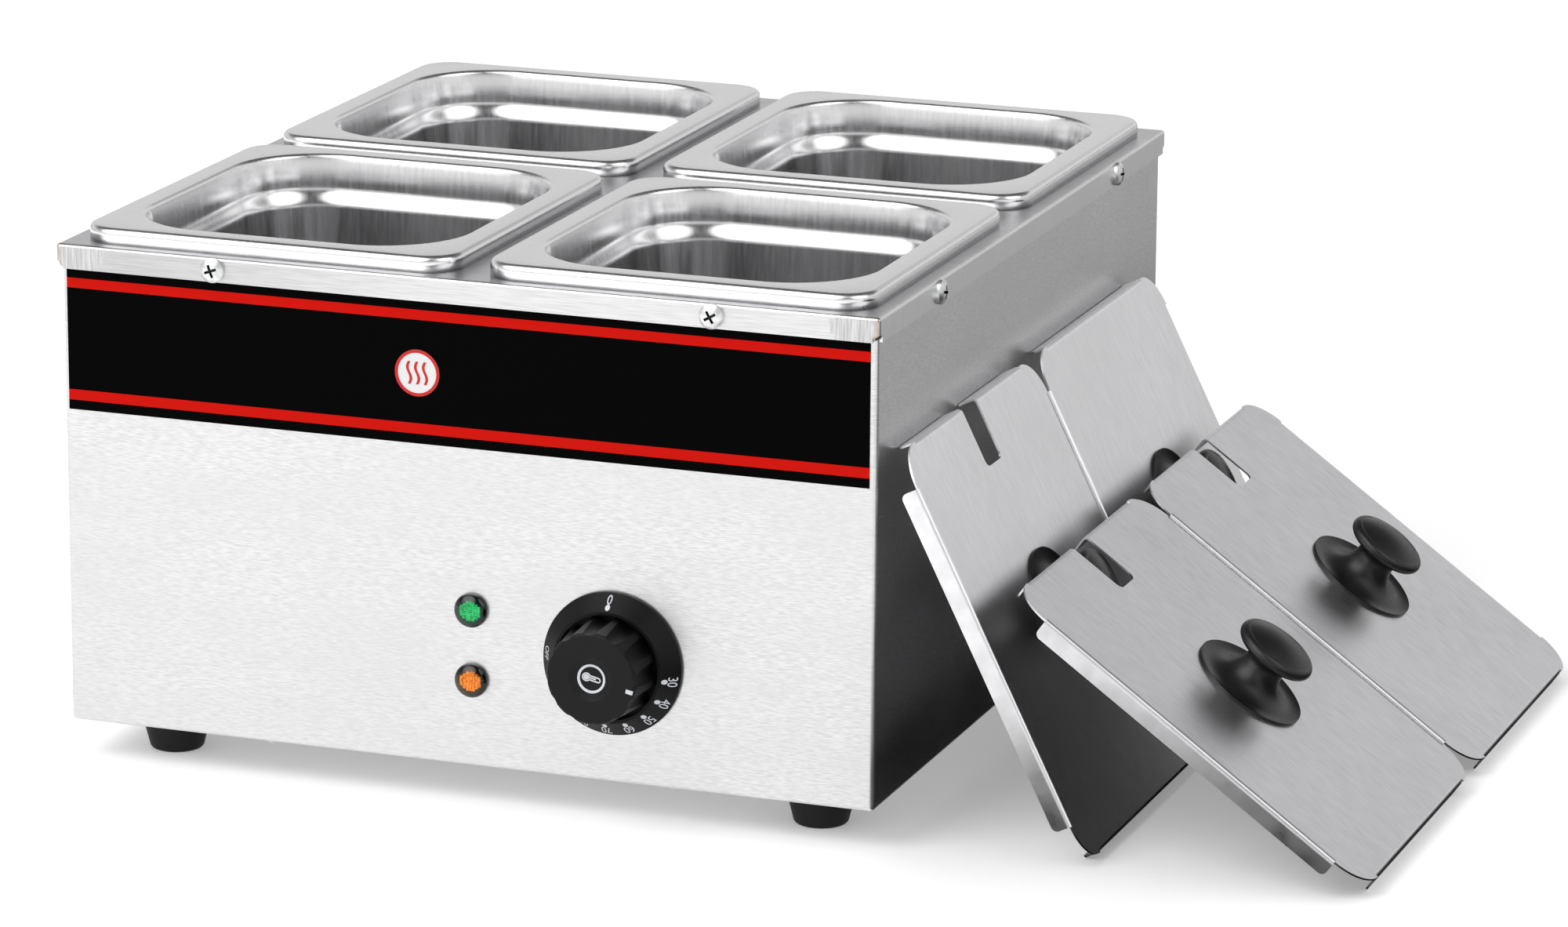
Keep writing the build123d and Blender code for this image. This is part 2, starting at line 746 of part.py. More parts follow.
def make_lamp_lens(level):
    """Domed lens with a rim that seats on the panel and a barrel through it."""
    back = -case_sheet - lamp_nut_height
    with BuildPart() as lens:
        with BuildSketch(Plane.XZ):
            with BuildLine():
                Polyline((0, lamp_dome), (0, back), (lamp_barrel_radius, back),
                         (lamp_barrel_radius, 0), (lamp_radius, 0), (lamp_radius, lamp_rim))
                crown(lamp_radius, lamp_rim, lamp_dome)
            make_face()
        revolve(axis=Axis.Z)
    return front_plane(lamp_x, level) * lens.part


def make_lamp_nuts():
    low = -case_sheet - lamp_nut_height
    nut = hexagon(lamp_nut_flats, low, -case_sheet)
    nut -= column(lamp_barrel_radius + thread_gap, low, -case_sheet)
    return [front_plane(lamp_x, level) * nut for level in (green_z, amber_z)]


def make_lamp_holders():
    """Lamp housings behind the lenses, with two flat terminals each."""
    top = -case_sheet - lamp_nut_height
    back = top - lamp_holder_length
    holder = column(lamp_barrel_radius, back, top)
    tab = block(-lamp_tab_sheet / 2, lamp_tab_sheet / 2, -lamp_tab_width / 2, lamp_tab_width / 2,
                back - lamp_tab_length, back)
    for sx in (-1, 1):
        holder += Pos(sx * lamp_tab_apart / 2, 0, 0) * tab
    return [front_plane(lamp_x, level) * holder for level in (green_z, amber_z)]


def make_front_band():
    """Printed decal along the top of the front, tucked up behind the lip."""
    top = deck_top - deck_lip + band_tuck
    return block(-side_face + band_margin_left, side_face - band_margin_right,
                 front_face - band_thickness, front_face, top - band_tuck - band_height, top)


# Terminal block and cable gland

def terminal_screw_places():
    reach = terminal_width / 2 - small_screw_head
    return [(terminal_x + sx * reach, terminal_y) for sx in (-1, 1)]


def make_terminal_block():
    """Ceramic block with a way through for each wire and a clamp screw hole above it."""
    top = base_top + terminal_tall
    body = block(-terminal_width / 2, terminal_width / 2, -terminal_deep / 2, terminal_deep / 2,
                 base_top, top)
    level = base_top + terminal_wire_level
    for i in range(terminal_ways):
        x = (i - (terminal_ways - 1) / 2) * terminal_pitch
        way = Pos(x, 0, level) * Rot(90, 0, 0) * Cylinder(terminal_wire_radius, terminal_deep)
        clamp = Pos(x, 0, 0) * column(terminal_wire_radius, level, top)
        body -= way + clamp
    body = Pos(terminal_x, terminal_y, 0) * body
    for x, y in terminal_screw_places():
        body -= Pos(x, y, 0) * column(small_screw + hole_gap, base_top, top)
        body -= Pos(x, y, 0) * column(small_screw_head + hole_gap, base_top + terminal_screw_seat,
                                      top)
    return body


def make_terminal_screws():
    screw = small_fixing(terminal_screw_seat + base_sheet)
    level = base_top + terminal_screw_seat
    return [Pos(x, y, level) * screw for x, y in terminal_screw_places()]


gland_plane = rear_plane(gland_x, gland_z)


def make_cable_gland():
    """Gland body: hexagon outside the panel, thread through it and thread for the cap."""
    body = hexagon(gland_flats, 0, gland_flange)
    body += column(gland_thread_radius, -gland_inner_length, 0)
    body += column(gland_neck_radius, gland_flange, gland_flange + gland_outer_length)
    body -= column(gland_bore_radius, -gland_inner_length, gland_flange + gland_outer_length)
    return gland_plane * body


def make_gland_cap():
    """Domed cap nut over the gland's neck."""
    low = gland_flange
    high = gland_flange + gland_cap_length
    seat = gland_flange + gland_outer_length
    cap = turned([(0, low), (gland_cap_radius, low), (gland_cap_radius, seat),
                  (gland_mouth_radius, high), (0, high)])
    cap = fillet(cap.edges().sort_by(Axis.Z)[-1], gland_mouth_round)
    cap -= column(gland_neck_radius + thread_gap, low, seat)
    cap -= column(gland_bore_radius, low, high)
    return gland_plane * cap


def make_gland_locknut():
    low = -case_sheet - gland_locknut_height
    nut = hexagon(gland_flats, low, -case_sheet)
    nut -= column(gland_thread_radius + thread_gap, low, -case_sheet)
    return gland_plane * nut


# Lids

def make_folded_side(run):
    """Side folded down along X from the plate's edge at y = 0, with free corners rounded."""
    centre = (-lid_bend, -lid_bend)
    drop = Polyline((0, -lid_bend), (0, -lid_flange), (-lid_sheet, -lid_flange),
                    (-lid_sheet, -lid_bend))
    outside = CenterArc(centre, lid_bend, 0, 90)
    inside = CenterArc(centre, lid_bend - lid_sheet, 0, 90)
    joint = Line((-lid_bend, 0), (-lid_bend, -lid_sheet))
    profile = make_face(drop.edges() + outside.edges() + inside.edges() + joint.edges())
    fold = extrude(Plane.YZ * profile, run / 2, both=True)
    corners = fold.edges().filter_by(Axis.Y).group_by(Axis.Z)[0]
    return fillet(corners, lid_flange_round)


def make_lid_plate():
    """Lid with its top at z = 0: plate, four folded sides, ladle notch at its -X end."""
    plate = rounded_block(lid_length, lid_width, lid_corner, -lid_sheet, 0)
    long_run = lid_length - 2 * lid_corner
    short_run = lid_width - 2 * lid_corner
    sides = [(0, lid_width / 2, long_run), (180, lid_width / 2, long_run),
             (90, lid_length / 2, short_run), (-90, lid_length / 2, short_run)]
    for angle, distance, run in sides:
        strip = block(-run / 2, run / 2, distance - lid_bend, distance, -lid_sheet, 0)
        plate -= Rot(0, 0, angle) * strip
        plate += Rot(0, 0, angle) * Pos(0, distance, 0) * make_folded_side(run)
    notch = block(-lid_length / 2 - lid_notch_depth, -lid_length / 2 + lid_notch_depth,
                  -lid_notch_width / 2, lid_notch_width / 2, -lid_flange, 0)
    inner = notch.edges().filter_by(Axis.Z).group_by(Axis.X)[-1]
    plate -= fillet(inner, lid_notch_round)
    return plate - column(case_screw + hole_gap, -lid_sheet, 0)


def make_grip():
    """Turned mushroom knob: trumpet foot, neck and a domed head with a rounded edge."""
    rim_level = grip_height - grip_head_crown
    with BuildPart() as grip:
        with BuildSketch(Plane.XZ):
            with BuildLine():
                foot = Polyline((0, 0), (grip_base_radius, 0), (grip_base_radius, grip_base_edge))
                neck = (grip_neck_radius, grip_neck_height)
                under = (grip_head_radius - grip_head_edge, rim_level - 2 * grip_head_edge)
                TangentArc(neck, foot @ 1, tangent=(0, -1))
                TangentArc(neck, under, tangent=(0, 1))
                ThreePointArc(under, (grip_head_radius, rim_level - grip_head_edge),
                              (grip_head_radius - grip_head_edge, rim_level))
                crown(grip_head_radius - grip_head_edge, rim_level, grip_height)
                Line((0, grip_height), (0, 0))
            make_face()
        revolve(axis=Axis.Z)
    return grip.part - column(case_screw + thread_gap, 0, grip_screw_depth)


def make_grip_screw():
    screw = case_fixing(grip_screw_depth - hole_gap + lid_sheet)
    return Pos(0, 0, -lid_sheet) * Rot(180, 0, 0) * screw


def lid_centre_z(tilt):
    """Height of the plate's middle when the lower flange stands on the floor."""
    return lid_floor_gap + lid_length / 2 * sin(radians(tilt)) + lid_flange * cos(radians(tilt))


def inner_lid_x():
    """Middle of a lid whose upper flange leans on the case's right wall."""
    tilt = radians(lid_inner_tilt)
    return side_face + lid_wall_gap + lid_length / 2 * cos(tilt) + lid_flange * sin(tilt)


def outer_lid_x():
    """Middle of a lid whose notch straddles the head of the inner lid's knob."""
    tilt = radians(lid_outer_tilt)
    apart = radians(lid_inner_tilt) - tilt
    touch_radius = grip_head_radius - grip_head_edge * (1 - sin(apart))
    touch_level = grip_height - grip_head_crown - grip_head_edge * (1 - cos(apart))
    aside = asin(lid_notch_width / 2 / touch_radius)
    reach = touch_radius * cos(aside) * sin(apart) + touch_level * cos(apart)
    middle = inner_lid_x() * sin(tilt) + lid_centre_z(lid_inner_tilt) * cos(tilt)
    plane = middle + reach + lid_knob_gap + lid_sheet
    return (plane - lid_centre_z(lid_outer_tilt) * cos(tilt)) / sin(tilt)


def lid_places():
    """Where each lid stands: pairs leaning on the case and on the first pair's knobs."""
    front = lid_front_y + lid_width / 2
    rear = front + lid_width + lid_row_gap
    inner = (inner_lid_x(), lid_centre_z(lid_inner_tilt), lid_inner_tilt)
    outer = (outer_lid_x(), lid_centre_z(lid_outer_tilt), lid_outer_tilt)
    places = {}
    for name, (x, z, tilt), y, turn in (
            ("inner_front", inner, front, 0), ("inner_rear", inner, rear, 180),
            ("outer_front", outer, front + lid_outer_shift_y, 0),
            ("outer_rear", outer, rear + lid_outer_shift_y, 0)):
        places[name] = Pos(x, y, z) * Rot(0, tilt, 0) * Rot(0, 0, turn)
    return places


# All pieces, each under the name it is known by on the bench
pieces = {
    "deck": make_deck(),
    "case_wrap": make_case_wrap(),
    "rear_panel": make_rear_panel(),
    "base_plate": make_base_plate(),
    "deck_screws": make_deck_screws(),
    "rear_screws": make_rear_screws(),
    "base_screws": make_base_screws(),
    "feet": make_feet(),
    "foot_screws": make_foot_screws(),
    "foot_nuts": make_foot_nuts(),
    "heating_well": make_well(),
    "heating_element": make_heating_element(),
    "element_bushes": make_element_bushes(),
    "element_nuts": make_element_nuts(),
    "element_rests": make_element_rests(),
    "thermostat_body": make_thermostat_body(),
    "thermostat_screws": make_thermostat_screws(),
    "thermostat_shaft": make_thermostat_shaft(),
    "thermostat_bulb": make_capillary(),
    "bulb_clips": make_bulb_clips(),
    "dial_bezel": make_dial_bezel(),
    "control_knob": make_control_knob(),
    "green_lamp_lens": make_lamp_lens(green_z),
    "amber_lamp_lens": make_lamp_lens(amber_z),
    "lamp_nuts": make_lamp_nuts(),
    "lamp_holders": make_lamp_holders(),
    "front_band": make_front_band(),
    "terminal_block": make_terminal_block(),
    "terminal_screws": make_terminal_screws(),
    "cable_gland": make_cable_gland(),
    "gland_cap": make_gland_cap(),
    "gland_locknut": make_gland_locknut(),
}

pan = make_pan()
for name, (x, y) in pan_places.items():
    pieces["pan_" + name] = Pos(x, y, rim_top) * pan

lid_plate = make_lid_plate()
grip = make_grip()
grip_screw = make_grip_screw()
for name, place in lid_places().items():
    pieces["lid_" + name] = place * lid_plate
    pieces["lid_knob_" + name] = place * grip
    pieces["lid_screw_" + name] = place * grip_screw

# The origin goes under the middle of the box round all pieces
solids = {}
for name, piece in pieces.items():
    items = piece if isinstance(piece, list) else [piece]
    solids[name] = [solid for item in items for solid in item.solids()]
boxes = [solid.bounding_box() for group in solids.values() for solid in group]
middle_x = (min(box.min.X for box in boxes) + max(box.max.X for box in boxes)) / 2
middle_y = (min(box.min.Y for box in boxes) + max(box.max.Y for box in boxes)) / 2
to_origin = Pos(-middle_x, -middle_y, 0)

os.makedirs("parts", exist_ok=True)
for name, group in solids.items():
    export_step(Compound(children=[to_origin * solid for solid in group]),
                os.path.join("parts", name + ".step"))
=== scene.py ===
import math

import bmesh
import bpy
from mathutils import Matrix, Vector


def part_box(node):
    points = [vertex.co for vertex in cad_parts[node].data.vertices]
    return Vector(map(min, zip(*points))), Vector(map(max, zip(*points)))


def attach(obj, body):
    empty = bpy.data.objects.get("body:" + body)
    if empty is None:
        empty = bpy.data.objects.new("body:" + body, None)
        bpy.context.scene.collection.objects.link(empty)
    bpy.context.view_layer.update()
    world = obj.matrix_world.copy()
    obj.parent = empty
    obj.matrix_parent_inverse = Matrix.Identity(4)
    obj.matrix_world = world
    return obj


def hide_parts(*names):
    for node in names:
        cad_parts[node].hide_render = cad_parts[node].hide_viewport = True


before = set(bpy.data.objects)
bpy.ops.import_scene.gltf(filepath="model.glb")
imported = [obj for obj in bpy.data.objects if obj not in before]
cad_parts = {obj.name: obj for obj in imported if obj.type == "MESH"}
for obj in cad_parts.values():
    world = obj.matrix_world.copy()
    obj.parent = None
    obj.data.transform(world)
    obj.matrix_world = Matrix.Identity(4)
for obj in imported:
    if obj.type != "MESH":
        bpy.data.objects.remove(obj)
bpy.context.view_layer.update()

# Case: the front and both sides are one sheet of 0.8 mm stainless steel, brushed level and
# folded round the front corners. A flat rear panel and a base plate close it.
MM = 0.001
CASE_STEEL = (0.80, 0.80, 0.805)
CASE_ROUGHNESS = 0.34
CASE_GRAIN = (4 * MM, 4 * MM, 0.34 * MM)
SMEAR_SIZE = (70 * MM, 70 * MM, 28 * MM)
SMEAR_SHADE = 0.16
BASE_STEEL = (0.60, 0.60, 0.61)
BASE_ROUGHNESS = 0.42
BASE_GRAIN = 3 * MM
LINE_DARK = 0.36
LINE_BRIGHT = 0.60
FIRST_COLOUR, SECOND_COLOUR, BLENDED_COLOUR = 6, 7, 2


def start_material(name):
    """New material, with its node tree and its shader."""
    material = bpy.data.materials.new(name)
    material.use_nodes = True
    tree = material.node_tree
    return material, tree, tree.nodes["Principled BSDF"]


def feed(tree, node, values):
    """Sets inputs of a node, each from a socket, a number or a colour."""
    for name, value in values.items():
        if isinstance(value, bpy.types.NodeSocket):
            tree.links.new(value, node.inputs[name])
        else:
            node.inputs[name].default_value = (*value, 1) if isinstance(value, tuple) else value


def lay_noise(tree, grain, turn=(0, 0, 0), detail=4):
    """Noise whose grains have the given size, the same or its own along each axis."""
    place = tree.nodes.new("ShaderNodeTexCoord")
    mapping = tree.nodes.new("ShaderNodeMapping")
    mapping.vector_type = "TEXTURE"
    mapping.inputs["Rotation"].default_value = turn
    mapping.inputs["Scale"].default_value = grain if isinstance(grain, tuple) else (grain,) * 3
    noise = tree.nodes.new("ShaderNodeTexNoise")
    feed(tree, mapping, {"Vector": place.outputs["Object"]})
    feed(tree, noise, {"Vector": mapping.outputs["Vector"], "Scale": 1, "Detail": detail})
    return noise.outputs["Fac"]


def spread(tree, value, low, high, start=0.3, end=0.7):
    """Stretches a value that runs from start to end over a new range."""
    span = tree.nodes.new("ShaderNodeMapRange")
    feed(tree, span, {"Value": value, "From Min": start, "From Max": end, "To Min": low,
                      "To Max": high})
    return span.outputs["Result"]


def shade(tree, value, stops):
    """Colour ramp over a value, from (position, colour) stops."""
    ramp = tree.nodes.new("ShaderNodeValToRGB")
    elements = ramp.color_ramp.elements
    while len(elements) < len(stops):
        elements.new(0.5)
    for element, (position, colour) in zip(elements, stops):
        element.position = position
        element.color = (*colour, 1)
    tree.links.new(value, ramp.inputs["Fac"])
    return ramp.outputs["Color"]


def dim(colour, share):
    """The colour at a share of its brightness."""
    return tuple(c * share for c in colour)


def emboss(tree, value, shader, strength, depth):
    """Bump on a shader from a height value, with its depth in metres."""
    bump = tree.nodes.new("ShaderNodeBump")
    feed(tree, bump, {"Strength": strength, "Distance": depth, "Height": value})
    feed(tree, shader, {"Normal": bump.outputs["Normal"]})


def reckon(tree, operation, first, second=None):
    """Maths on sockets or plain numbers."""
    step = tree.nodes.new("ShaderNodeMath")
    step.operation = operation
    feed(tree, step, {0: first} if second is None else {0: first, 1: second})
    return step.outputs["Value"]


def mix_values(tree, share, first, second):
    """Blend of two values by a share between 0 and 1."""
    blend = tree.nodes.new("ShaderNodeMix")
    feed(tree, blend, {"Factor": share, "A": first, "B": second})
    return blend.outputs["Result"]


def mix_colours(tree, share, first, second):
    """Blend of two colours, each a socket or a plain colour, by a share between 0 and 1."""
    blend = tree.nodes.new("ShaderNodeMix")
    blend.data_type = "RGBA"
    feed(tree, blend, {"Factor": share, FIRST_COLOUR: first, SECOND_COLOUR: second})
    return blend.outputs[BLENDED_COLOUR]


def polish_steel(tree, steel, lines, colour, roughness, contrast, turn=(0, 0, 0)):
    """Finish of a steel sheet: drawn lines, with faint smears where hands have wiped it."""
    dark, dull = dim(colour, 1 - contrast), dim(colour, 1 - SMEAR_SHADE)
    smear = lay_noise(tree, SMEAR_SIZE, turn, detail=3)
    drawn = shade(tree, lines, [(LINE_DARK, dark), (LINE_BRIGHT, colour)])
    fine = spread(tree, lines, roughness + 0.05, roughness - 0.05)
    feed(tree, steel, {
        "Metallic": 1,
        "Base Color": mix_colours(tree, spread(tree, smear, 0.5, 0, 0.35, 0.65), drawn, dull),
        "Roughness": reckon(tree, "ADD", fine, spread(tree, smear, -0.03, 0.05))})
    emboss(tree, lines, steel, 0.10, 0.02 * MM)


def brushed_steel(name, colour, roughness, grain, turn=(0, 0, 0), contrast=0.10):
    """Stainless sheet with a drawn grain of the given size along each axis."""
    material, tree, steel = start_material(name)
    lines = lay_noise(tree, grain, turn, detail=6)
    polish_steel(tree, steel, lines, colour, roughness, contrast, turn)
    return material


def dress(material, *names):
    """Gives CAD nodes their finish."""
    for name in names:
        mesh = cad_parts[name].data
        mesh.materials.clear()
        mesh.materials.append(material)


dress(brushed_steel("case_steel", CASE_STEEL, CASE_ROUGHNESS, CASE_GRAIN, contrast=0.20),
      "case_wrap", "rear_panel")
dress(brushed_steel("base_steel", BASE_STEEL, BASE_ROUGHNESS, BASE_GRAIN, contrast=0.18),
      "base_plate")

# Feet: four black rubber cones, each held through its hollow tread by a zinc-plated screw
# and a nut inside the case. The moulded rubber is dull and picks up dust near the floor.
RUBBER = (0.006, 0.006, 0.0065)
RUBBER_DUST = (0.026, 0.025, 0.024)
DUST_REACH = 9 * MM
ZINC = (0.74, 0.745, 0.75)


def object_place(tree):
    """The piece's own X, Y and Z, as three sockets."""
    place = tree.nodes.new("ShaderNodeTexCoord")
    split = tree.nodes.new("ShaderNodeSeparateXYZ")
    feed(tree, split, {"Vector": place.outputs["Object"]})
    return split.outputs["X"], split.outputs["Y"], split.outputs["Z"]


def plated(name, colour, roughness):
    """Plated or plain small metal part, slightly uneven in colour and gloss."""
    material, tree, metal = start_material(name)
    blot = lay_noise(tree, 1.6 * MM)
    feed(tree, metal, {
        "Metallic": 1,
        "Base Color": shade(tree, blot, [(0.35, dim(colour, 0.78)), (0.65, colour)]),
        "Roughness": spread(tree, blot, roughness + 0.1, roughness - 0.06)})
    emboss(tree, blot, metal, 0.15, 0.03 * MM)
    return material


rubber, tree, shader = start_material("rubber_black")
grit = lay_noise(tree, 0.7 * MM)
height = object_place(tree)[2]
low = spread(tree, height, 1, 0, 0, DUST_REACH)
dusty = reckon(tree, "MULTIPLY", low, spread(tree, grit, 0.1, 0.7))
feed(tree, shader, {"Base Color": mix_colours(tree, dusty, RUBBER, RUBBER_DUST),
                    "Roughness": spread(tree, grit, 0.50, 0.68), "Specular IOR Level": 0.25})
emboss(tree, grit, shader, 0.3, 0.08 * MM)
dress(rubber, "feet")
zinc = plated("bright_zinc", ZINC, 0.24)
dress(zinc, "foot_screws", "foot_nuts", "base_screws")

# Heating well: a welded tank of mill-finish steel under the deck, with a tubular heating
# element lying in it on brackets, and brass bushes where the element's ends go through.
WELL_STEEL = (0.50, 0.50, 0.505)
WELL_ROUGHNESS = 0.40
WELL_GRAIN = (4 * MM, 14 * MM, 4 * MM)
ELEMENT_STEEL = (0.20, 0.185, 0.175)
BRASS = (0.72, 0.53, 0.24)
dress(brushed_steel("well_steel", WELL_STEEL, WELL_ROUGHNESS, WELL_GRAIN, contrast=0.15),
      "heating_well", "element_rests", "bulb_clips")
dress(plated("element_steel", ELEMENT_STEEL, 0.45), "heating_element")
dress(plated("turned_brass", BRASS, 0.30), "element_bushes")
dress(zinc, "element_nuts")

# Inside the case: the thermostat's moulded body and copper bulb, the lamp holders, and the
# porcelain terminal block on the base plate.
COPPER = (0.72, 0.38, 0.24)
PHENOLIC = (0.060, 0.036, 0.026)
PORCELAIN = (0.80, 0.78, 0.72)
NYLON = (0.020, 0.020, 0.021)


def moulded(name, colour, roughness, grain=0.5 * MM, depth=0.04 * MM, lift=1.6, gloss=0.5):
    """Moulded plastic or ceramic with a fine tooth and a slightly uneven colour."""
    material, tree, plastic = start_material(name)
    tooth = lay_noise(tree, grain, detail=3)
    cloud = lay_noise(tree, 14 * MM, detail=3)
    pale = tuple(min(1, c * lift) for c in colour)
    feed(tree, plastic, {
        "Base Color": shade(tree, cloud, [(0.35, colour), (0.75, pale)]),
        "Roughness": spread(tree, tooth, roughness - 0.06, roughness + 0.08),
        "Specular IOR Level": gloss})
    emboss(tree, tooth, plastic, 0.5, depth)
    return material


nylon = moulded("nylon_black", NYLON, 0.42)
dress(plated("drawn_copper", COPPER, 0.30), "thermostat_bulb")
dress(moulded("phenolic_brown", PHENOLIC, 0.45), "thermostat_body")
dress(moulded("porcelain", PORCELAIN, 0.22, lift=1.1), "terminal_block")
dress(nylon, "lamp_holders", "lamp_nuts")
dress(zinc, "thermostat_screws", "thermostat_shaft", "terminal_screws")

# Cord gland: black nylon body, domed cap and locknut in the rear panel. Its bore is empty.
dress(nylon, "cable_gland", "gland_cap", "gland_locknut")

# Deck: a cap plate of 1.2 mm stainless with lips folded down over the case. The corners of
# the lips are welded, and ground smooth with a belt that leaves upright lines.
DECK_STEEL = (0.66, 0.66, 0.67)
DECK_ROUGHNESS = 0.32
DECK_CONTRAST = 0.16
LIP_STEEL = (0.76, 0.76, 0.765)
SIDE_LIP_PAINTED_LIGHT = (0.80, 0.80, 0.805)
# Lip colours: the front lip's lit and shaded copies, the ground ends, and the side lips painted
# lighter.
LIP_TONES_AND_PAINTED_LIGHT = ((LIP_STEEL, 0.84, LINE_BRIGHT, 1), (LIP_STEEL, 0.62, LINE_BRIGHT, 0.74),
              (LIP_STEEL, 0.60, 0.62, 0.92), (SIDE_LIP_PAINTED_LIGHT, 0.95, LINE_BRIGHT, 1))
DECK_GRAIN = (14 * MM, 0.4 * MM, 14 * MM)
LIP_GRAIN = (14 * MM, 14 * MM, 0.35 * MM)
GROUND_GRAIN = (0.35 * MM, 14 * MM, 12 * MM)
GROUND_LENGTH = 21 * MM
GROUND_SOFT = 2.5 * MM
RAGGED_GRAIN = (3 * MM, 3 * MM, 6 * MM)
RAGGED_REACH = 2 * MM
LIP_REACH = 1 * MM
LIP_SOFT = 0.4 * MM
WELD_TINT = (0.46, 0.36, 0.27)
WELD_REACH = 5 * MM

deck_low, deck_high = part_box("deck")
deck_middle = (deck_low + deck_high) / 2
deck_half = (deck_high - deck_low) / 2
deck_steel, tree, shader = start_material("deck_steel")
x, y, z = object_place(tree)
from_end, from_face = [
    reckon(tree, "SUBTRACT", half, reckon(
        tree, "ABSOLUTE", reckon(tree, "SUBTRACT", along, middle)))
    for along, middle, half in ((x, deck_middle.x, deck_half.x), (y, deck_middle.y, deck_half.y))]
ragged = lay_noise(tree, RAGGED_GRAIN, detail=2)
edge = reckon(tree, "ADD", from_end, spread(tree, ragged, -RAGGED_REACH, RAGGED_REACH))
ground = spread(tree, edge, 1, 0, GROUND_LENGTH - GROUND_SOFT, GROUND_LENGTH)
on_lip, on_side = [spread(tree, away, 1, 0, LIP_REACH, LIP_REACH + LIP_SOFT)
                   for away in (from_face, from_end)]
plate_lines, lip_lines, ground_lines = [
    lay_noise(tree, grain, detail=6) for grain in (DECK_GRAIN, LIP_GRAIN, GROUND_GRAIN)]
lines = mix_values(tree, on_lip, plate_lines,
                   mix_values(tree, ground, lip_lines, ground_lines))
polish_steel(tree, shader, lines, DECK_STEEL, DECK_ROUGHNESS, DECK_CONTRAST)
# The front lip is painted darker at its left end, lightening towards the middle, and the side lips
# lighter: painted shade and painted light; the ground ends keep their own tone.
lip_painted_light, lip_painted_shade, ground_lip, side_lip_painted_light = [
    shade(tree, lines, [(LINE_DARK, dim(steel, low)), (bright_from, dim(steel, high))])
    for steel, low, bright_from, high in LIP_TONES_AND_PAINTED_LIGHT]
front_lip_light_gradient = mix_colours(tree, spread(tree, x, 0, 1, deck_low.x, deck_middle.x), lip_painted_shade, lip_painted_light)
top_colour = mix_colours(tree, on_side, shader.inputs["Base Color"].links[0].from_socket, side_lip_painted_light)
steel_colour = mix_colours(tree, on_lip, top_colour,
                           mix_colours(tree, ground, front_lip_light_gradient, ground_lip))
weld = reckon(tree, "MULTIPLY", spread(tree, from_end, 1, 0, 0, WELD_REACH),
              reckon(tree, "MULTIPLY", on_lip, spread(tree, ragged, 0, 0.9, 0.42, 0.62)))
feed(tree, shader, {"Base Color": mix_colours(tree, weld, steel_colour, WELD_TINT)})
dress(deck_steel, "deck")

# Deck and rear screws: zinc-plated pan heads with a cross recess. Eight hold the lips to the
# case and four hold the rear panel; each was driven to its own stop.
HEAD_RADIUS = 5.0 * MM
HEAD_RIM = 1.5 * MM
HEAD_CROWN = 1.5 * MM
HEAD_BEND = 1.4
HEAD_STEPS = 48
HEAD_RINGS = 9
SHARP_FOLD = 35
RECESS_REACH = 2.7 * MM
RECESS_WIDTH = 1.1 * MM
RECESS_DEPTH = 1.7 * MM
HEAD_ZINC = (0.88, 0.885, 0.89)
# Near-black of the cross recesses: painted shade, not the zinc's own colour.
RECESS_PAINTED_SHADE = (0.05, 0.05, 0.052)
DECK_SCREW_X = 106 * MM
DECK_SCREW_Y = 117 * MM
FIRST_TWIST = 0.35
NEXT_TWIST = 2.4


def start_tree(name, inputs):
    """Geometry tree with named inputs, and ways to add a node, a sum or a vector to it."""
    tree = bpy.data.node_groups.new(name, "GeometryNodeTree")
    tree.interface.new_socket(name="Geometry", in_out="INPUT",
                              socket_type="NodeSocketGeometry")
    tree.interface.new_socket(name="Geometry", in_out="OUTPUT",
                              socket_type="NodeSocketGeometry")
    for label in inputs:
        tree.interface.new_socket(name=label, in_out="INPUT", socket_type="NodeSocketFloat")

    def add(kind, values=(), **settings):
        node = tree.nodes.new(kind)
        for key, value in settings.items():
            setattr(node, key, value)
        for key, value in dict(values).items():
            for item in value if isinstance(value, list) else [value]:
                if isinstance(item, bpy.types.NodeSocket):
                    tree.links.new(item, node.inputs[key])
                else:
                    node.inputs[key].default_value = item
        return node

    def maths(operation, first, second):
        return add("ShaderNodeMath", {0: first, 1: second}, operation=operation).outputs[0]

    def vector(**axes):
        return add("ShaderNodeCombineXYZ", axes).outputs["Vector"]

    return tree, add, maths, vector, add("NodeGroupInput").outputs


def show(name, data):
    """New object in the scene, made of the given data."""
    thing = bpy.data.objects.new(name, data)
    bpy.context.scene.collection.objects.link(thing)
    return thing


def grow(name, points, attributes, tree, sizes, sharp):
    """Mesh object that a geometry tree grows on points, each with its own attributes."""
    mesh = bpy.data.meshes.new(name)
    mesh.from_pydata(points, [], [])
    for label, kind, values in attributes:
        layer = mesh.attributes.new(label, kind, "POINT")
        for item, value in zip(layer.data, values):
            if kind == "FLOAT_VECTOR":
                item.vector = value
            else:
                item.value = value
    seed = show(name, mesh)
    modifier = seed.modifiers.new("grow", "NODES")
    modifier.node_group = tree
    for item in tree.interface.items_tree:
        if item.in_out == "INPUT" and item.name in sizes:
            modifier[item.identifier] = sizes[item.name]
    bpy.context.view_layer.update()
    grown = bpy.data.meshes.new_from_object(
        seed.evaluated_get(bpy.context.evaluated_depsgraph_get()))
    seed.modifiers.remove(modifier)
    seed.data = grown
    bpy.data.meshes.remove(mesh)
    grown.name = name
    grown.shade_smooth()
    grown.set_sharp_from_angle(angle=math.radians(sharp))
    return seed


def fit(piece, body, slot, *stands_for):
    """Fixes a finished piece to its body, in place of the CAD nodes it stands for; slot is not
    used.
    """
    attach(piece, body)
    if stands_for:
        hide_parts(*stands_for)
    return piece


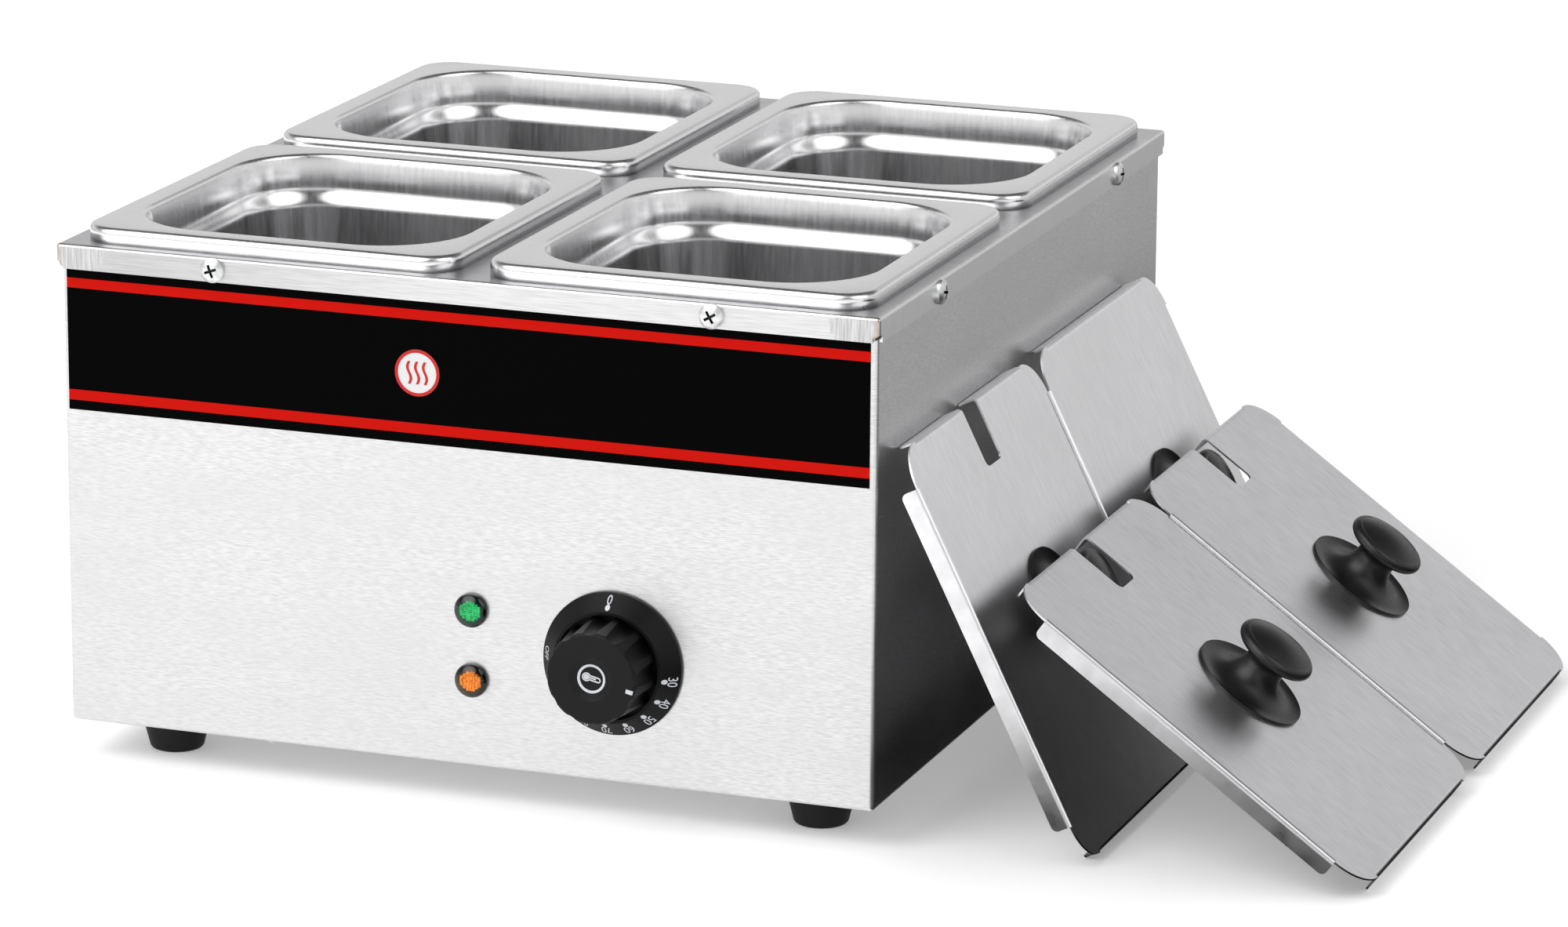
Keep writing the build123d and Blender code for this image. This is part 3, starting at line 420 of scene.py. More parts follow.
def pan_head_tree(material, recess_shade_material):
    """Tree that sets a domed head with a cross recess on each point, along its facing; the recess
    gets a near-black material as painted shade.
    """
    tree, add, maths, vector, sizes = start_tree("pan_heads", (
        "Head radius", "Head rim", "Head crown", "Recess reach", "Recess width", "Recess depth"))
    head = add("GeometryNodeMeshCylinder", {
        "Vertices": HEAD_STEPS, "Side Segments": 1, "Fill Segments": HEAD_RINGS,
        "Radius": sizes["Head radius"], "Depth": sizes["Head rim"]}, fill_type="TRIANGLE_FAN")
    split = add("ShaderNodeSeparateXYZ", {
        "Vector": add("GeometryNodeInputPosition").outputs["Position"]}).outputs
    reach = maths("ADD", maths("MULTIPLY", split["X"], split["X"]),
                  maths("MULTIPLY", split["Y"], split["Y"]))
    limit = maths("MULTIPLY", sizes["Head radius"], sizes["Head radius"])
    share = maths("DIVIDE", reach, limit)
    bend = maths("POWER", share, HEAD_BEND)
    rest = maths("SUBTRACT", 1.0, bend)
    lift = maths("MULTIPLY", rest, sizes["Head crown"])
    upper = maths("GREATER_THAN", split["Z"], 0.0)
    domed = add("GeometryNodeSetPosition", {
        "Geometry": head.outputs["Mesh"], "Selection": upper,
        "Offset": vector(Z=lift)})
    half_rim = maths("DIVIDE", sizes["Head rim"], 2.0)
    top = maths("ADD", half_rim, sizes["Head crown"])
    length = maths("MULTIPLY", sizes["Recess reach"], 2.0)
    depth = maths("MULTIPLY", sizes["Recess depth"], 2.0)
    width = sizes["Recess width"]
    bars = []
    for size in (vector(X=length, Y=width, Z=depth), vector(X=width, Y=length, Z=depth)):
        bar = add("GeometryNodeMeshCube", {"Size": size}).outputs["Mesh"]
        bar = add("GeometryNodeTransform", {"Geometry": bar, "Translation": vector(Z=top)})
        bars.append(add("GeometryNodeStoreNamedAttribute", {
            "Geometry": bar.outputs["Geometry"], "Name": "recess", "Value": 1.0},
            data_type="FLOAT", domain="FACE").outputs["Geometry"])
    cut = add("GeometryNodeMeshBoolean", {
        "Mesh 1": domed.outputs["Geometry"], "Mesh 2": bars}, operation="DIFFERENCE",
        solver="EXACT")
    seated = add("GeometryNodeTransform", {"Geometry": cut.outputs["Mesh"],
                                           "Translation": vector(Z=half_rim)})
    facing, twist, recess = [
        add("GeometryNodeInputNamedAttribute", {"Name": label}, data_type=kind).outputs["Attribute"]
        for label, kind in (("facing", "FLOAT_VECTOR"), ("twist", "FLOAT"), ("recess", "FLOAT"))]
    aim = add("FunctionNodeAlignRotationToVector", {"Vector": facing}, axis="Z")
    spin = add("FunctionNodeAxisAngleToRotation", {"Axis": (0, 0, 1), "Angle": twist})
    turn = add("FunctionNodeRotateRotation", {
        "Rotation": aim.outputs["Rotation"], "Rotate By": spin.outputs["Rotation"]},
        rotation_space="LOCAL")
    placed = add("GeometryNodeInstanceOnPoints", {
        "Points": sizes["Geometry"], "Instance": seated.outputs["Geometry"],
        "Rotation": turn.outputs["Rotation"]})
    whole = add("GeometryNodeRealizeInstances", {"Geometry": placed.outputs["Instances"]})
    painted = add("GeometryNodeSetMaterial", {"Geometry": whole.outputs["Geometry"],
                                              "Material": material})
    # The recess faces take the near-black material: painted shade in the cross.
    hollow = maths("GREATER_THAN", recess, 0.5)
    darkened = add("GeometryNodeSetMaterial", {"Geometry": painted.outputs["Geometry"],
                                               "Selection": hollow, "Material": recess_shade_material})
    add("NodeGroupOutput", {"Geometry": darkened.outputs["Geometry"]})
    return tree


deck_screw_z = sum(corner.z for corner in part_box("deck_screws")) / 2
screw_low, screw_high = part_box("rear_screws")
rear_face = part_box("rear_panel")[1].y
heads = []
for side in (-1, 1):
    for way in (-1, 1):
        heads.append(((deck_middle.x + side * DECK_SCREW_X, deck_middle.y + way * deck_half.y,
                       deck_screw_z), (0, way, 0)))
        heads.append(((deck_middle.x + side * deck_half.x, deck_middle.y + way * DECK_SCREW_Y,
                       deck_screw_z), (side, 0, 0)))
for head_x in (screw_low.x + HEAD_RADIUS, screw_high.x - HEAD_RADIUS):
    for head_z in (screw_low.z + HEAD_RADIUS, screw_high.z - HEAD_RADIUS):
        heads.append(((head_x, rear_face, head_z), (0, 1, 0)))
case_heads = grow(
    "case_screw_heads", [place for place, facing in heads],
    [("facing", "FLOAT_VECTOR", [facing for place, facing in heads]),
     ("twist", "FLOAT", [FIRST_TWIST + NEXT_TWIST * index for index in range(len(heads))])],
    pan_head_tree(plated("head_zinc", HEAD_ZINC, 0.36), plated("recess_painted_shade", RECESS_PAINTED_SHADE, 0.5)),
    {"Head radius": HEAD_RADIUS, "Head rim": HEAD_RIM, "Head crown": HEAD_CROWN,
     "Recess reach": RECESS_REACH, "Recess width": RECESS_WIDTH, "Recess depth": RECESS_DEPTH},
    SHARP_FOLD)
fit(case_heads, "warmer", "zinc", "deck_screws", "rear_screws")

# Front band: a printed film below the front lip, matt black with a red line near each edge.
BAND_BLACK = (0.0010, 0.0010, 0.0012)
BAND_RED = (0.62, 0.009, 0.005)
BAND_LIP = 206.2 * MM
UPPER_LINE = (BAND_LIP - 8.1 * MM, BAND_LIP - 4.0 * MM)
LOWER_LINE = (4.0 * MM, 8.3 * MM)

band_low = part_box("front_band")[0]
band_film, tree, shader = start_material("band_film")
height = object_place(tree)[2]
red = None
for start, end in (UPPER_LINE, [band_low.z + edge for edge in LOWER_LINE]):
    inside = reckon(tree, "MULTIPLY",
                    reckon(tree, "GREATER_THAN", height, start),
                    reckon(tree, "LESS_THAN", height, end))
    red = inside if red is None else reckon(tree, "MAXIMUM", red, inside)
film_tooth = lay_noise(tree, 0.5 * MM, detail=3)
feed(tree, shader, {"Base Color": mix_colours(tree, red, BAND_BLACK, BAND_RED),
                    "Roughness": spread(tree, film_tooth, 0.42, 0.56),
                    "Specular IOR Level": 0.02})
emboss(tree, film_tooth, shader, 0.15, 0.02 * MM)
dress(band_film, "front_band")

# Roundel on the band: a plain printed disc with a red ring round three curls of steam.
ROUNDEL_X = -19.0 * MM
ROUNDEL_Z = 176.5 * MM
DISC_RADIUS = 9.5 * MM
DISC_RING = 1.3 * MM
INK_FILM = 0.12 * MM
MERGE_REACH = 1e-7
CURL_PITCH = 3.4 * MM
CURL_REACH = 4.6 * MM
CURL_SWING = 0.75 * MM
CURL_LINE = 1.15 * MM
CURL_POINTS = 6
DISC_STEPS = 72
ROUNDEL_WHITE = (0.86, 0.86, 0.86)


def plain_mesh(name, verts, faces, material):
    """New mesh of one material."""
    mesh = bpy.data.meshes.new(name)
    mesh.from_pydata([tuple(v) for v in verts], [], faces)
    mesh.materials.append(material)
    return mesh


def make_piece(name, verts, faces, material):
    """New mesh object with faces outward, smooth where it bends gently."""
    mesh = plain_mesh(name, verts, faces, material)
    work = bmesh.new()
    work.from_mesh(mesh)
    bmesh.ops.remove_doubles(work, verts=work.verts, dist=MERGE_REACH)
    bmesh.ops.recalc_face_normals(work, faces=work.faces)
    work.to_mesh(mesh)
    work.free()
    mesh.shade_smooth()
    mesh.set_sharp_from_angle(angle=math.radians(SHARP_FOLD))
    return show(name, mesh)


def front_place(x, y, z):
    """Place on the front, with the piece's X to the right, Y up and Z out of the front."""
    return Matrix(((1, 0, 0, x), (0, 0, -1, y), (0, 1, 0, z), (0, 0, 0, 1)))


def ribbon(left, right, low, high):
    """Flat strip between two edge lines, as a closed plate from low to high."""
    count = len(left)
    verts = [(*p, level) for level in (low, high) for edge in (left, right) for p in edge]
    faces = []
    for i in range(count - 1):
        a, b, c, d = i, i + 1, count + i + 1, count + i
        top = 2 * count
        faces += [(a, d, c, b), (a + top, b + top, c + top, d + top),
                  (a, b, b + top, a + top), (d, d + top, c + top, c)]
    for i, j in ((0, count), (count - 1, 2 * count - 1)):
        faces.append((i, j, j + 2 * count, i + 2 * count))
    return verts, faces


def turned(profile, steps, place):
    """Verts and faces of a profile of (radius, height) points turned round Z, then placed."""
    verts, faces, rings = [], [], []
    for radius, level in profile:
        count = 1 if radius == 0 else steps
        rings.append(range(len(verts), len(verts) + count))
        for i in range(count):
            angle = 2 * math.pi * i / steps
            verts.append(place @ Vector((radius * math.cos(angle), radius * math.sin(angle),
                                         level)))
    for low, high in zip(rings, rings[1:]):
        for i in range(steps):
            j = (i + 1) % steps
            if len(low) == len(high) == 1:
                break
            elif len(low) == 1:
                faces.append((low[0], high[i], high[j]))
            elif len(high) == 1:
                faces.append((low[i], low[j], high[0]))
            else:
                faces.append((low[i], low[j], high[j], high[i]))
    return verts, faces


def add_part(verts, faces, more_verts, more_faces):
    """Adds a part's verts and faces to those of the piece it belongs to."""
    faces += [tuple(i + len(verts) for i in face) for face in more_faces]
    verts += more_verts


def printed(name, colour):
    """Printing ink, slightly uneven."""
    material, tree, ink = start_material(name)
    speck = lay_noise(tree, 0.4 * MM)
    feed(tree, ink, {
        "Base Color": shade(tree, speck, [(0.3, dim(colour, 0.86)), (0.6, colour)]),
        "Roughness": spread(tree, speck, 0.38, 0.5)})
    return material


roundel_place = front_place(deck_middle.x + ROUNDEL_X, band_low.y, ROUNDEL_Z)
white_ink = printed("white_ink", ROUNDEL_WHITE)
red_ink = printed("red_ink", BAND_RED)
disc = [(0, -INK_FILM), (DISC_RADIUS, -INK_FILM), (DISC_RADIUS, INK_FILM), (0, INK_FILM)]
fit(make_piece("roundel_disc", *turned(disc, DISC_STEPS, roundel_place), white_ink),
    "warmer", "decal_black")
red_verts, red_faces = turned(
    [(DISC_RADIUS, 0), (DISC_RADIUS, 2 * INK_FILM), (DISC_RADIUS - DISC_RING, 2 * INK_FILM),
     (DISC_RADIUS - DISC_RING, 0), (DISC_RADIUS, 0)], DISC_STEPS, roundel_place)
for row in (-1, 0, 1):
    middle = [(row * CURL_PITCH + CURL_SWING * math.sin(i * math.pi / CURL_POINTS),
               CURL_REACH * (i / CURL_POINTS - 1)) for i in range(2 * CURL_POINTS + 1)]
    verts, faces = ribbon([(u - CURL_LINE / 2, v) for u, v in middle],
                          [(u + CURL_LINE / 2, v) for u, v in middle], 0, 2 * INK_FILM)
    add_part(red_verts, red_faces, [roundel_place @ Vector(v) for v in verts], faces)
fit(make_piece("roundel_curls", red_verts, red_faces, red_ink), "warmer", "decal_black")

# Pilot lamps: clear tinted domes, green over amber, each over a disc of moulded prisms that
# spreads the lamp's light. The cavity round the disc is a near-black surface as painted shade,
# and the outer ring of each dome is tinted dark as painted shade.
LENS_WALL = 1.1 * MM
LENS_RIM = 1.2 * MM
LENS_STEPS = 56
DOME_STEPS = 12
PRISM_FIELD = 4.2 * MM
PRISM_PITCH = 1.25 * MM
PRISM_ROW = 0.86 * MM
PRISM_HEIGHT = 0.7 * MM
PRISM_LEVEL = 1.4 * MM
PRISM_GLOW = 0.9
PRISM_COLUMNS = 8
PRISM_ROWS = 12
PRISM_FOOT = 0.62
PRISM_TIP = 0.40
PRISM_TILTS = ((0.1, -0.4, -0.12), (0.5, 0.4, 0.12))
PRISM_SEED = 5
PRISM_SHARP = 20
PRISM_GAP = 0.2 * MM
PRISM_MARGIN = 0.5 * MM
CAVITY_BACK = 0.1 * MM
CAVITY_FLOOR = 0.5 * MM
LENS_TINTS = {"green": (0.03, 0.66, 0.42), "amber": (0.94, 0.58, 0.06)}
GLOW_TINTS = {"green": (0.02, 0.85, 0.36), "amber": (1.0, 0.46, 0.02)}
LENS_IOR = 1.49
# The dome's outer ring is tinted near black: painted shade.
LENS_RIM_SHADE = 0.02
LENS_RIM_SHADE_FROM = 0.66
LENS_RIM_SHADE_FULL = 0.84
# Near-black of the lamp cavity: painted shade.
CAVITY_SHADE = (0.0015, 0.0015, 0.0015)


def prism_tree(name, material):
    """Tree that fills a disc with rows of small four-sided prisms, each tipped a little."""
    tree, add, maths, vector, sizes = start_tree(
        name, ("Field radius", "Pitch", "Row", "Prism height"))
    span = maths("MULTIPLY", sizes["Pitch"], PRISM_COLUMNS)
    reach = maths("MULTIPLY", sizes["Row"], PRISM_ROWS)
    grid = add("GeometryNodeMeshGrid", {"Size X": span, "Size Y": reach,
                                        "Vertices X": PRISM_COLUMNS + 1,
                                        "Vertices Y": PRISM_ROWS + 1})
    place = add("GeometryNodeInputPosition").outputs["Position"]
    away = add("ShaderNodeVectorMath", {0: place}, operation="LENGTH").outputs["Value"]
    outside = maths("GREATER_THAN", away, sizes["Field radius"])
    kept = add("GeometryNodeDeleteGeometry", {"Geometry": grid.outputs["Mesh"],
                                              "Selection": outside}, domain="POINT")
    prism = add("GeometryNodeMeshCone", {
        "Vertices": 4, "Radius Bottom": maths("MULTIPLY", sizes["Pitch"], PRISM_FOOT),
        "Radius Top": maths("MULTIPLY", sizes["Pitch"], PRISM_TIP),
        "Depth": sizes["Prism height"]})
    squared = add("GeometryNodeTransform", {"Geometry": prism.outputs["Mesh"],
                                            "Rotation": (0, 0, math.pi / 4)})
    squash = maths("DIVIDE", sizes["Row"], sizes["Pitch"])
    brick = add("GeometryNodeTransform", {"Geometry": squared.outputs["Geometry"],
                                          "Scale": vector(X=1.0, Y=squash, Z=1.0)})
    tilt = add("FunctionNodeRandomValue", {"Min": PRISM_TILTS[0], "Max": PRISM_TILTS[1],
                                           "Seed": PRISM_SEED},
               data_type="FLOAT_VECTOR").outputs["Value"]
    placed = add("GeometryNodeInstanceOnPoints", {
        "Points": kept.outputs["Geometry"], "Instance": brick.outputs["Geometry"],
        "Rotation": tilt})
    whole = add("GeometryNodeRealizeInstances", {"Geometry": placed.outputs["Instances"]})
    painted = add("GeometryNodeSetMaterial", {"Geometry": whole.outputs["Geometry"],
                                              "Material": material})
    add("NodeGroupOutput", {"Geometry": painted.outputs["Geometry"]})
    return tree


def lens_profile(radius, height, wall):
    """Outer and inner line of a lens shell, from its open back over the dome and back."""
    rise = height - LENS_RIM
    turns = [i * math.pi / (2 * DOME_STEPS) for i in range(DOME_STEPS)]
    outer, inner = [[(reach * math.cos(angle), LENS_RIM + up * math.sin(angle)) for angle in turns]
                    for reach, up in ((radius, rise), (radius - wall, rise - wall))]
    return ([(radius, 0)] + outer + [(0, height), (0, height - wall)] + inner[::-1]
            + [(radius - wall, 0), (radius, 0)])


case_low, case_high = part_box("case_wrap")
cavity_painted_shade = moulded("cavity_painted_shade", CAVITY_SHADE, 0.5)
for colour in ("green", "amber"):
    lens_low, lens_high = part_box(colour + "_lamp_lens")
    middle = (lens_low + lens_high) / 2
    radius = (lens_high.x - lens_low.x) / 2
    lamp_place = front_place(middle.x, case_low.y, middle.z)
    lens_clear, tree, shader = start_material(colour + "_lens")
    tint = LENS_TINTS[colour]
    swirl = lay_noise(tree, 6 * MM, detail=2)
    clear = shade(tree, swirl, [(0.3, dim(tint, 0.8)), (0.7, tint)])
    x, y, z = object_place(tree)
    across, up = reckon(tree, "SUBTRACT", x, middle.x), reckon(tree, "SUBTRACT", z, middle.z)
    from_axis = reckon(tree, "SQRT", reckon(
        tree, "ADD", reckon(tree, "MULTIPLY", across, across), reckon(tree, "MULTIPLY", up, up)))
    # Painted shade: the tint darkens from part way out to the dome's rim.
    edge = spread(tree, from_axis, 0, 1, radius * LENS_RIM_SHADE_FROM, radius * LENS_RIM_SHADE_FULL)
    feed(tree, shader, {"Base Color": mix_colours(tree, edge, clear, dim(tint, LENS_RIM_SHADE)),
                        "Roughness": spread(tree, swirl, 0.03, 0.06),
                        "Transmission Weight": 1, "IOR": LENS_IOR})
    lens = make_piece(colour + "_lens", *turned(
        lens_profile(radius, case_low.y - lens_low.y, LENS_WALL), LENS_STEPS, lamp_place),
        lens_clear)
    fit(lens, "warmer", "lens_" + colour, colour + "_lamp_lens")
    inside, table = radius - LENS_WALL, PRISM_FIELD + PRISM_MARGIN
    floor_profile = [(0, CAVITY_BACK), (inside, CAVITY_BACK), (inside, CAVITY_FLOOR),
                     (table, CAVITY_FLOOR), (table, PRISM_LEVEL), (0, PRISM_LEVEL)]
    fit(make_piece(colour + "_cavity", *turned(floor_profile, LENS_STEPS, lamp_place),
                   cavity_painted_shade), "warmer", "lens_" + colour)
    glow, tree, shader = start_material(colour + "_prisms")
    grain = lay_noise(tree, 0.5 * MM, detail=2)
    bright = GLOW_TINTS[colour]
    facets = shade(tree, grain, [(0.38, dim(bright, 0.2)), (0.58, bright)])
    feed(tree, shader, {"Base Color": facets, "Emission Color": facets,
                        "Roughness": spread(tree, grain, 0.15, 0.3),
                        "Emission Strength": PRISM_GLOW})
    prisms = grow(colour + "_prisms", [(0, 0, 0)], [], prism_tree(colour + "_prism_grid", glow),
                  {"Field radius": PRISM_FIELD, "Pitch": PRISM_PITCH, "Row": PRISM_ROW,
                   "Prism height": PRISM_HEIGHT}, PRISM_SHARP)
    prisms.data.transform(lamp_place @ Matrix.Translation((0, 0, PRISM_LEVEL + PRISM_GAP)))
    fit(prisms, "warmer", "lens_" + colour)

# Thermostat dial: a moulded black bezel with a scale on its cone, round a cup for the knob.
# The marks are printed white: a dot for each setting with its number outside it.
DIAL_EDGE = 1.6 * MM
DIAL_CREST = 8.0 * MM
DIAL_CREST_RADIUS = 22.8 * MM
DOT_RADIUS = 1.0 * MM
DOT_RING = 24.3 * MM
NUMBER_RING = 26.9 * MM
NUMBER_HEIGHT = 3.1 * MM
OFF_HEIGHT = 2.3 * MM
DOT_STEPS = 24
LETTER_STEPS = 6
INK_PROUD = 0.10 * MM
SCALE = {"0": 0.0, "30": 98.6, "40": 120.0, "50": 141.0, "60": 162.0, "70": 183.0, "80": 204.5,
         "90": 226.0}
OFF_ANGLE = 275.0
DIAL_BLACK = (0.0026, 0.0026, 0.003)
DIAL_GLOSS = 0.16
MARK_WHITE = (0.72, 0.74, 0.78)

dial_low, dial_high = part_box("dial_bezel")
dial_radius = (dial_high.x - dial_low.x) / 2
dial_middle = (dial_low + dial_high) / 2
dial_place = front_place(dial_middle.x, case_low.y, dial_middle.z)
dial_black = moulded("dial_black", DIAL_BLACK, 0.40, 0.45 * MM, 0.06 * MM, gloss=DIAL_GLOSS)
dress(dial_black, "dial_bezel")
mark_ink = printed("mark_ink", MARK_WHITE)


def text_outline(words, height):
    """Mesh of upright words, centred, with letters of the given height."""
    curve = bpy.data.curves.new(words, "FONT")
    curve.body = words
    curve.align_x = "CENTER"
    curve.align_y = "CENTER"
    curve.resolution_u = LETTER_STEPS
    curve.extrude = 0.5
    carrier = show(words, curve)
    bpy.context.view_layer.update()
    flat = bpy.data.meshes.new_from_object(
        carrier.evaluated_get(bpy.context.evaluated_depsgraph_get()))
    bpy.data.objects.remove(carrier)
    bpy.data.curves.remove(curve)
    tops = [v.co.y for v in flat.vertices]
    scale = height / (max(tops) - min(tops))
    middle = (max(tops) + min(tops)) / 2
    verts = [(v.co.x * scale, (v.co.y - middle) * scale, v.co.z) for v in flat.vertices]
    faces = [tuple(p.vertices) for p in flat.polygons]
    bpy.data.meshes.remove(flat)
    return verts, faces


def on_dial(angle, ring, u, v, level):
    """Point on the dial's cone, from a mark's own right and up, clockwise from the top."""
    turn = math.radians(angle) + u / ring
    radius = ring + v
    slope = (DIAL_CREST - DIAL_EDGE) / (DIAL_CREST_RADIUS - dial_radius)
    height = DIAL_EDGE + (radius - dial_radius) * slope + level * INK_PROUD
    return dial_place @ Vector((radius * math.sin(turn), radius * math.cos(turn), height))


mark_verts, mark_faces = [], []
for words, angle in list(SCALE.items()) + [("OFF", OFF_ANGLE)]:
    verts, faces = text_outline(words, NUMBER_HEIGHT if words != "OFF" else OFF_HEIGHT)
    upright = -1 if words == "OFF" else 1
    add_part(mark_verts, mark_faces, [on_dial(angle, NUMBER_RING, upright * u, upright * v, 2 * w)
                                      for u, v, w in verts], faces)
for angle in SCALE.values():
    start, top = len(mark_verts), len(mark_verts) + DOT_STEPS
    turns = [2 * math.pi * i / DOT_STEPS for i in range(DOT_STEPS)]
    mark_verts += [
        on_dial(angle, DOT_RING, DOT_RADIUS * math.cos(a), DOT_RADIUS * math.sin(a), level)
        for level in (-1, 1) for a in turns]
    mark_faces += [tuple(range(top, top + DOT_STEPS)), tuple(range(top - 1, start - 1, -1))]
    mark_faces += [(start + i, start + (i + 1) % DOT_STEPS, top + (i + 1) % DOT_STEPS, top + i)
                   for i in range(DOT_STEPS)]
fit(make_piece("dial_marks", mark_verts, mark_faces, mark_ink), "warmer", "dial_black")

# Control knob: moulded, fluted and dished in front, with a fine leather-like tooth. A white
# pointer is printed over the edge of its face, and a thermometer in a ring in its dish.
KNOB_REST = math.radians(102)
KNOB_REACH = 25.0 * MM
KNOB_FACE = 18.7 * MM
KNOB_ROUND = 1.4 * MM
DISH_RADIUS = 9.0 * MM
DISH_DEPTH = 1.8 * MM
RING_RADIUS = 5.9 * MM
RING_LINE = 1.0 * MM
RING_STEPS = 48
TICK_WIDTH = 1.7 * MM
TICK_START = 15.2 * MM
TICK_END = KNOB_FACE - 0.25 * MM
TICK_STEPS = 10
STEM_TOP = 3.6 * MM
STEM_HALF = 0.85 * MM
STEM_STEPS = 10
BULB_RADIUS = 1.55 * MM
BULB_STEPS = 22
BULB_DROP = -2.3 * MM
GLYPH_LINE = 0.55 * MM
MERCURY_STEP = 0.5 * MM
MERCURY_COUNT = 9
BEAD_SHARE = 0.42
BEAD_LINE = 0.3
BEAD_STEPS = 24
KNOB_GLOSS = 0.22

dress(moulded("knob_black", DIAL_BLACK, 0.46, 0.5 * MM, 0.16 * MM, gloss=KNOB_GLOSS),
      "control_knob")


def dish_level(radius):
    """Height of the knob's face at a radius, with its dish and its rounded edge."""
    ball = (DISH_RADIUS ** 2 + DISH_DEPTH ** 2) / (2 * DISH_DEPTH)
    if radius < DISH_RADIUS:
        return KNOB_REACH - DISH_DEPTH + ball - math.sqrt(ball ** 2 - radius ** 2)
    over = max(0, radius - (KNOB_FACE - KNOB_ROUND))
    return KNOB_REACH - KNOB_ROUND + math.sqrt(max(0, KNOB_ROUND ** 2 - over ** 2))


def on_knob(u, v, level):
    """Point on the knob's face, at a level given in films of ink."""
    return dial_place @ Vector((u, v, dish_level(math.hypot(u, v)) + level * INK_PROUD))


def stroke(path, half, closed):
    """Verts and faces of an inked line of a given half width along a path on the knob."""
    left, right = [], []
    count = len(path)
    for i, (u, v) in enumerate(path):
        before = path[i - 1] if closed or i else path[i]
        after = path[(i + 1) % count] if closed or i + 1 < count else path[i]
        du, dv = after[0] - before[0], after[1] - before[1]
        length = math.hypot(du, dv)
        left.append((u - dv / length * half, v + du / length * half))
        right.append((u + dv / length * half, v - du / length * half))
    if closed:
        left.append(left[0])
        right.append(right[0])
    verts, faces = ribbon(left, right, -1, 1)
    return [on_knob(*v) for v in verts], faces if not closed else faces[:-2]


def arc(radius, start, end, steps, middle=(0, 0)):
    """Points on an arc, with its angles in degrees."""
    angles = [math.radians(start + (end - start) * i / steps) for i in range(steps + 1)]
    return [(middle[0] + radius * math.cos(a), middle[1] + radius * math.sin(a)) for a in angles]


def circle(radius, steps, middle=(0, 0)):
    """Points on a whole circle, without the first one again at its end."""
    return arc(radius, 0, 360 - 360 / steps, steps - 1, middle)


ring_line = circle(RING_RADIUS - RING_LINE / 2, RING_STEPS)
throat = math.degrees(math.asin(STEM_HALF / BULB_RADIUS))
glass = (arc(STEM_HALF, 0, 180, STEM_STEPS, (0, STEM_TOP - STEM_HALF))
         + arc(BULB_RADIUS, 90 + throat, 450 - throat, BULB_STEPS, (0, BULB_DROP)))
mercury = [(0, BULB_DROP + i * MERCURY_STEP) for i in range(MERCURY_COUNT)]
bead = circle(BULB_RADIUS * BEAD_SHARE, BEAD_STEPS, (0, BULB_DROP))
tick_turn = math.pi / 2 - KNOB_REST
stem_x, stem_y = math.cos(tick_turn), math.sin(tick_turn)
glass, mercury, bead = [[(u * stem_y + v * stem_x, v * stem_y - u * stem_x) for u, v in line]
                        for line in (glass, mercury, bead)]
tick = [(r * math.cos(tick_turn), r * math.sin(tick_turn))
        for r in (TICK_START + (TICK_END - TICK_START) * i / TICK_STEPS
                  for i in range(TICK_STEPS + 1))]
mark_verts, mark_faces = [], []
for path, half, closed in ((ring_line, RING_LINE / 2, True), (glass, GLYPH_LINE / 2, True),
                           (mercury, GLYPH_LINE / 2, False),
                           (bead, BULB_RADIUS * BEAD_LINE, True), (tick, TICK_WIDTH / 2, False)):
    add_part(mark_verts, mark_faces, *stroke(path, half, closed))
fit(make_piece("knob_marks", mark_verts, mark_faces, mark_ink), "knob", "dial_black")

# Pans: deep-drawn from 0.8 mm stainless and polished inside, with a satin rim folded down
# all round. A stacking shoulder runs round each below its mouth.
PAN_SHEET = 0.8 * MM
RIM_CORNER = 15 * MM
RIM_DROP = 6.5 * MM
RIM_BEND = 2.5 * MM
FLANGE = 12 * MM
MOUTH_CORNER = 36 * MM
MOUTH_BEND = 2 * MM
COLLAR_LEAN = 1.2 * MM
SHOULDER_TOP = 13.6 * MM
SHOULDER_HEIGHT = 8.6 * MM
SHOULDER_STEP = 4 * MM
PAN_DRAFT = math.radians(4)
PAN_DEPTH = 100 * MM
FLOOR_ROUND = 15.2 * MM
CORNER_STEPS = 14
RIM_POINTS = 6
MOUTH_POINTS = 8
COLLAR_POINTS = 7
SHOULDER_POINTS = 12
FLOOR_POINTS = 10
# Inside colours below and above the shoulder: painted shade and painted light on one steel.
PAN_SHADED_STEEL = (0.55, 0.55, 0.555)
COLLAR_LIT_STEEL = (0.86, 0.86, 0.865)
RIM_STEEL = (0.85, 0.85, 0.855)
PAN_TONES_AND_PAINTED_LIGHT = ((PAN_SHADED_STEEL, 0.93), (COLLAR_LIT_STEEL, 0.93), (RIM_STEEL, 0.86))
RIM_GRAIN = (9 * MM, 1.2 * MM, 9 * MM)
DRAWN_GRAIN = (1.6 * MM, 1.6 * MM, 22 * MM)
SATIN_FROM = 2.4 * MM
SATIN_FULL = 1.0 * MM
POLISHED_ROUGHNESS = 0.20
SATIN_ROUGHNESS = 0.28


def corner_loop(half_x, half_y, corner, level):
    """Points round a rectangle with rounded corners, anticlockwise."""
    loop = []
    for quarter, (sx, sy) in enumerate(((1, 1), (-1, 1), (-1, -1), (1, -1))):
        for i in range(CORNER_STEPS + 1):
            angle = (quarter + i / CORNER_STEPS) * math.pi / 2
            loop.append((sx * (half_x - corner) + corner * math.cos(angle),
                         sy * (half_y - corner) + corner * math.sin(angle), level))
    return loop


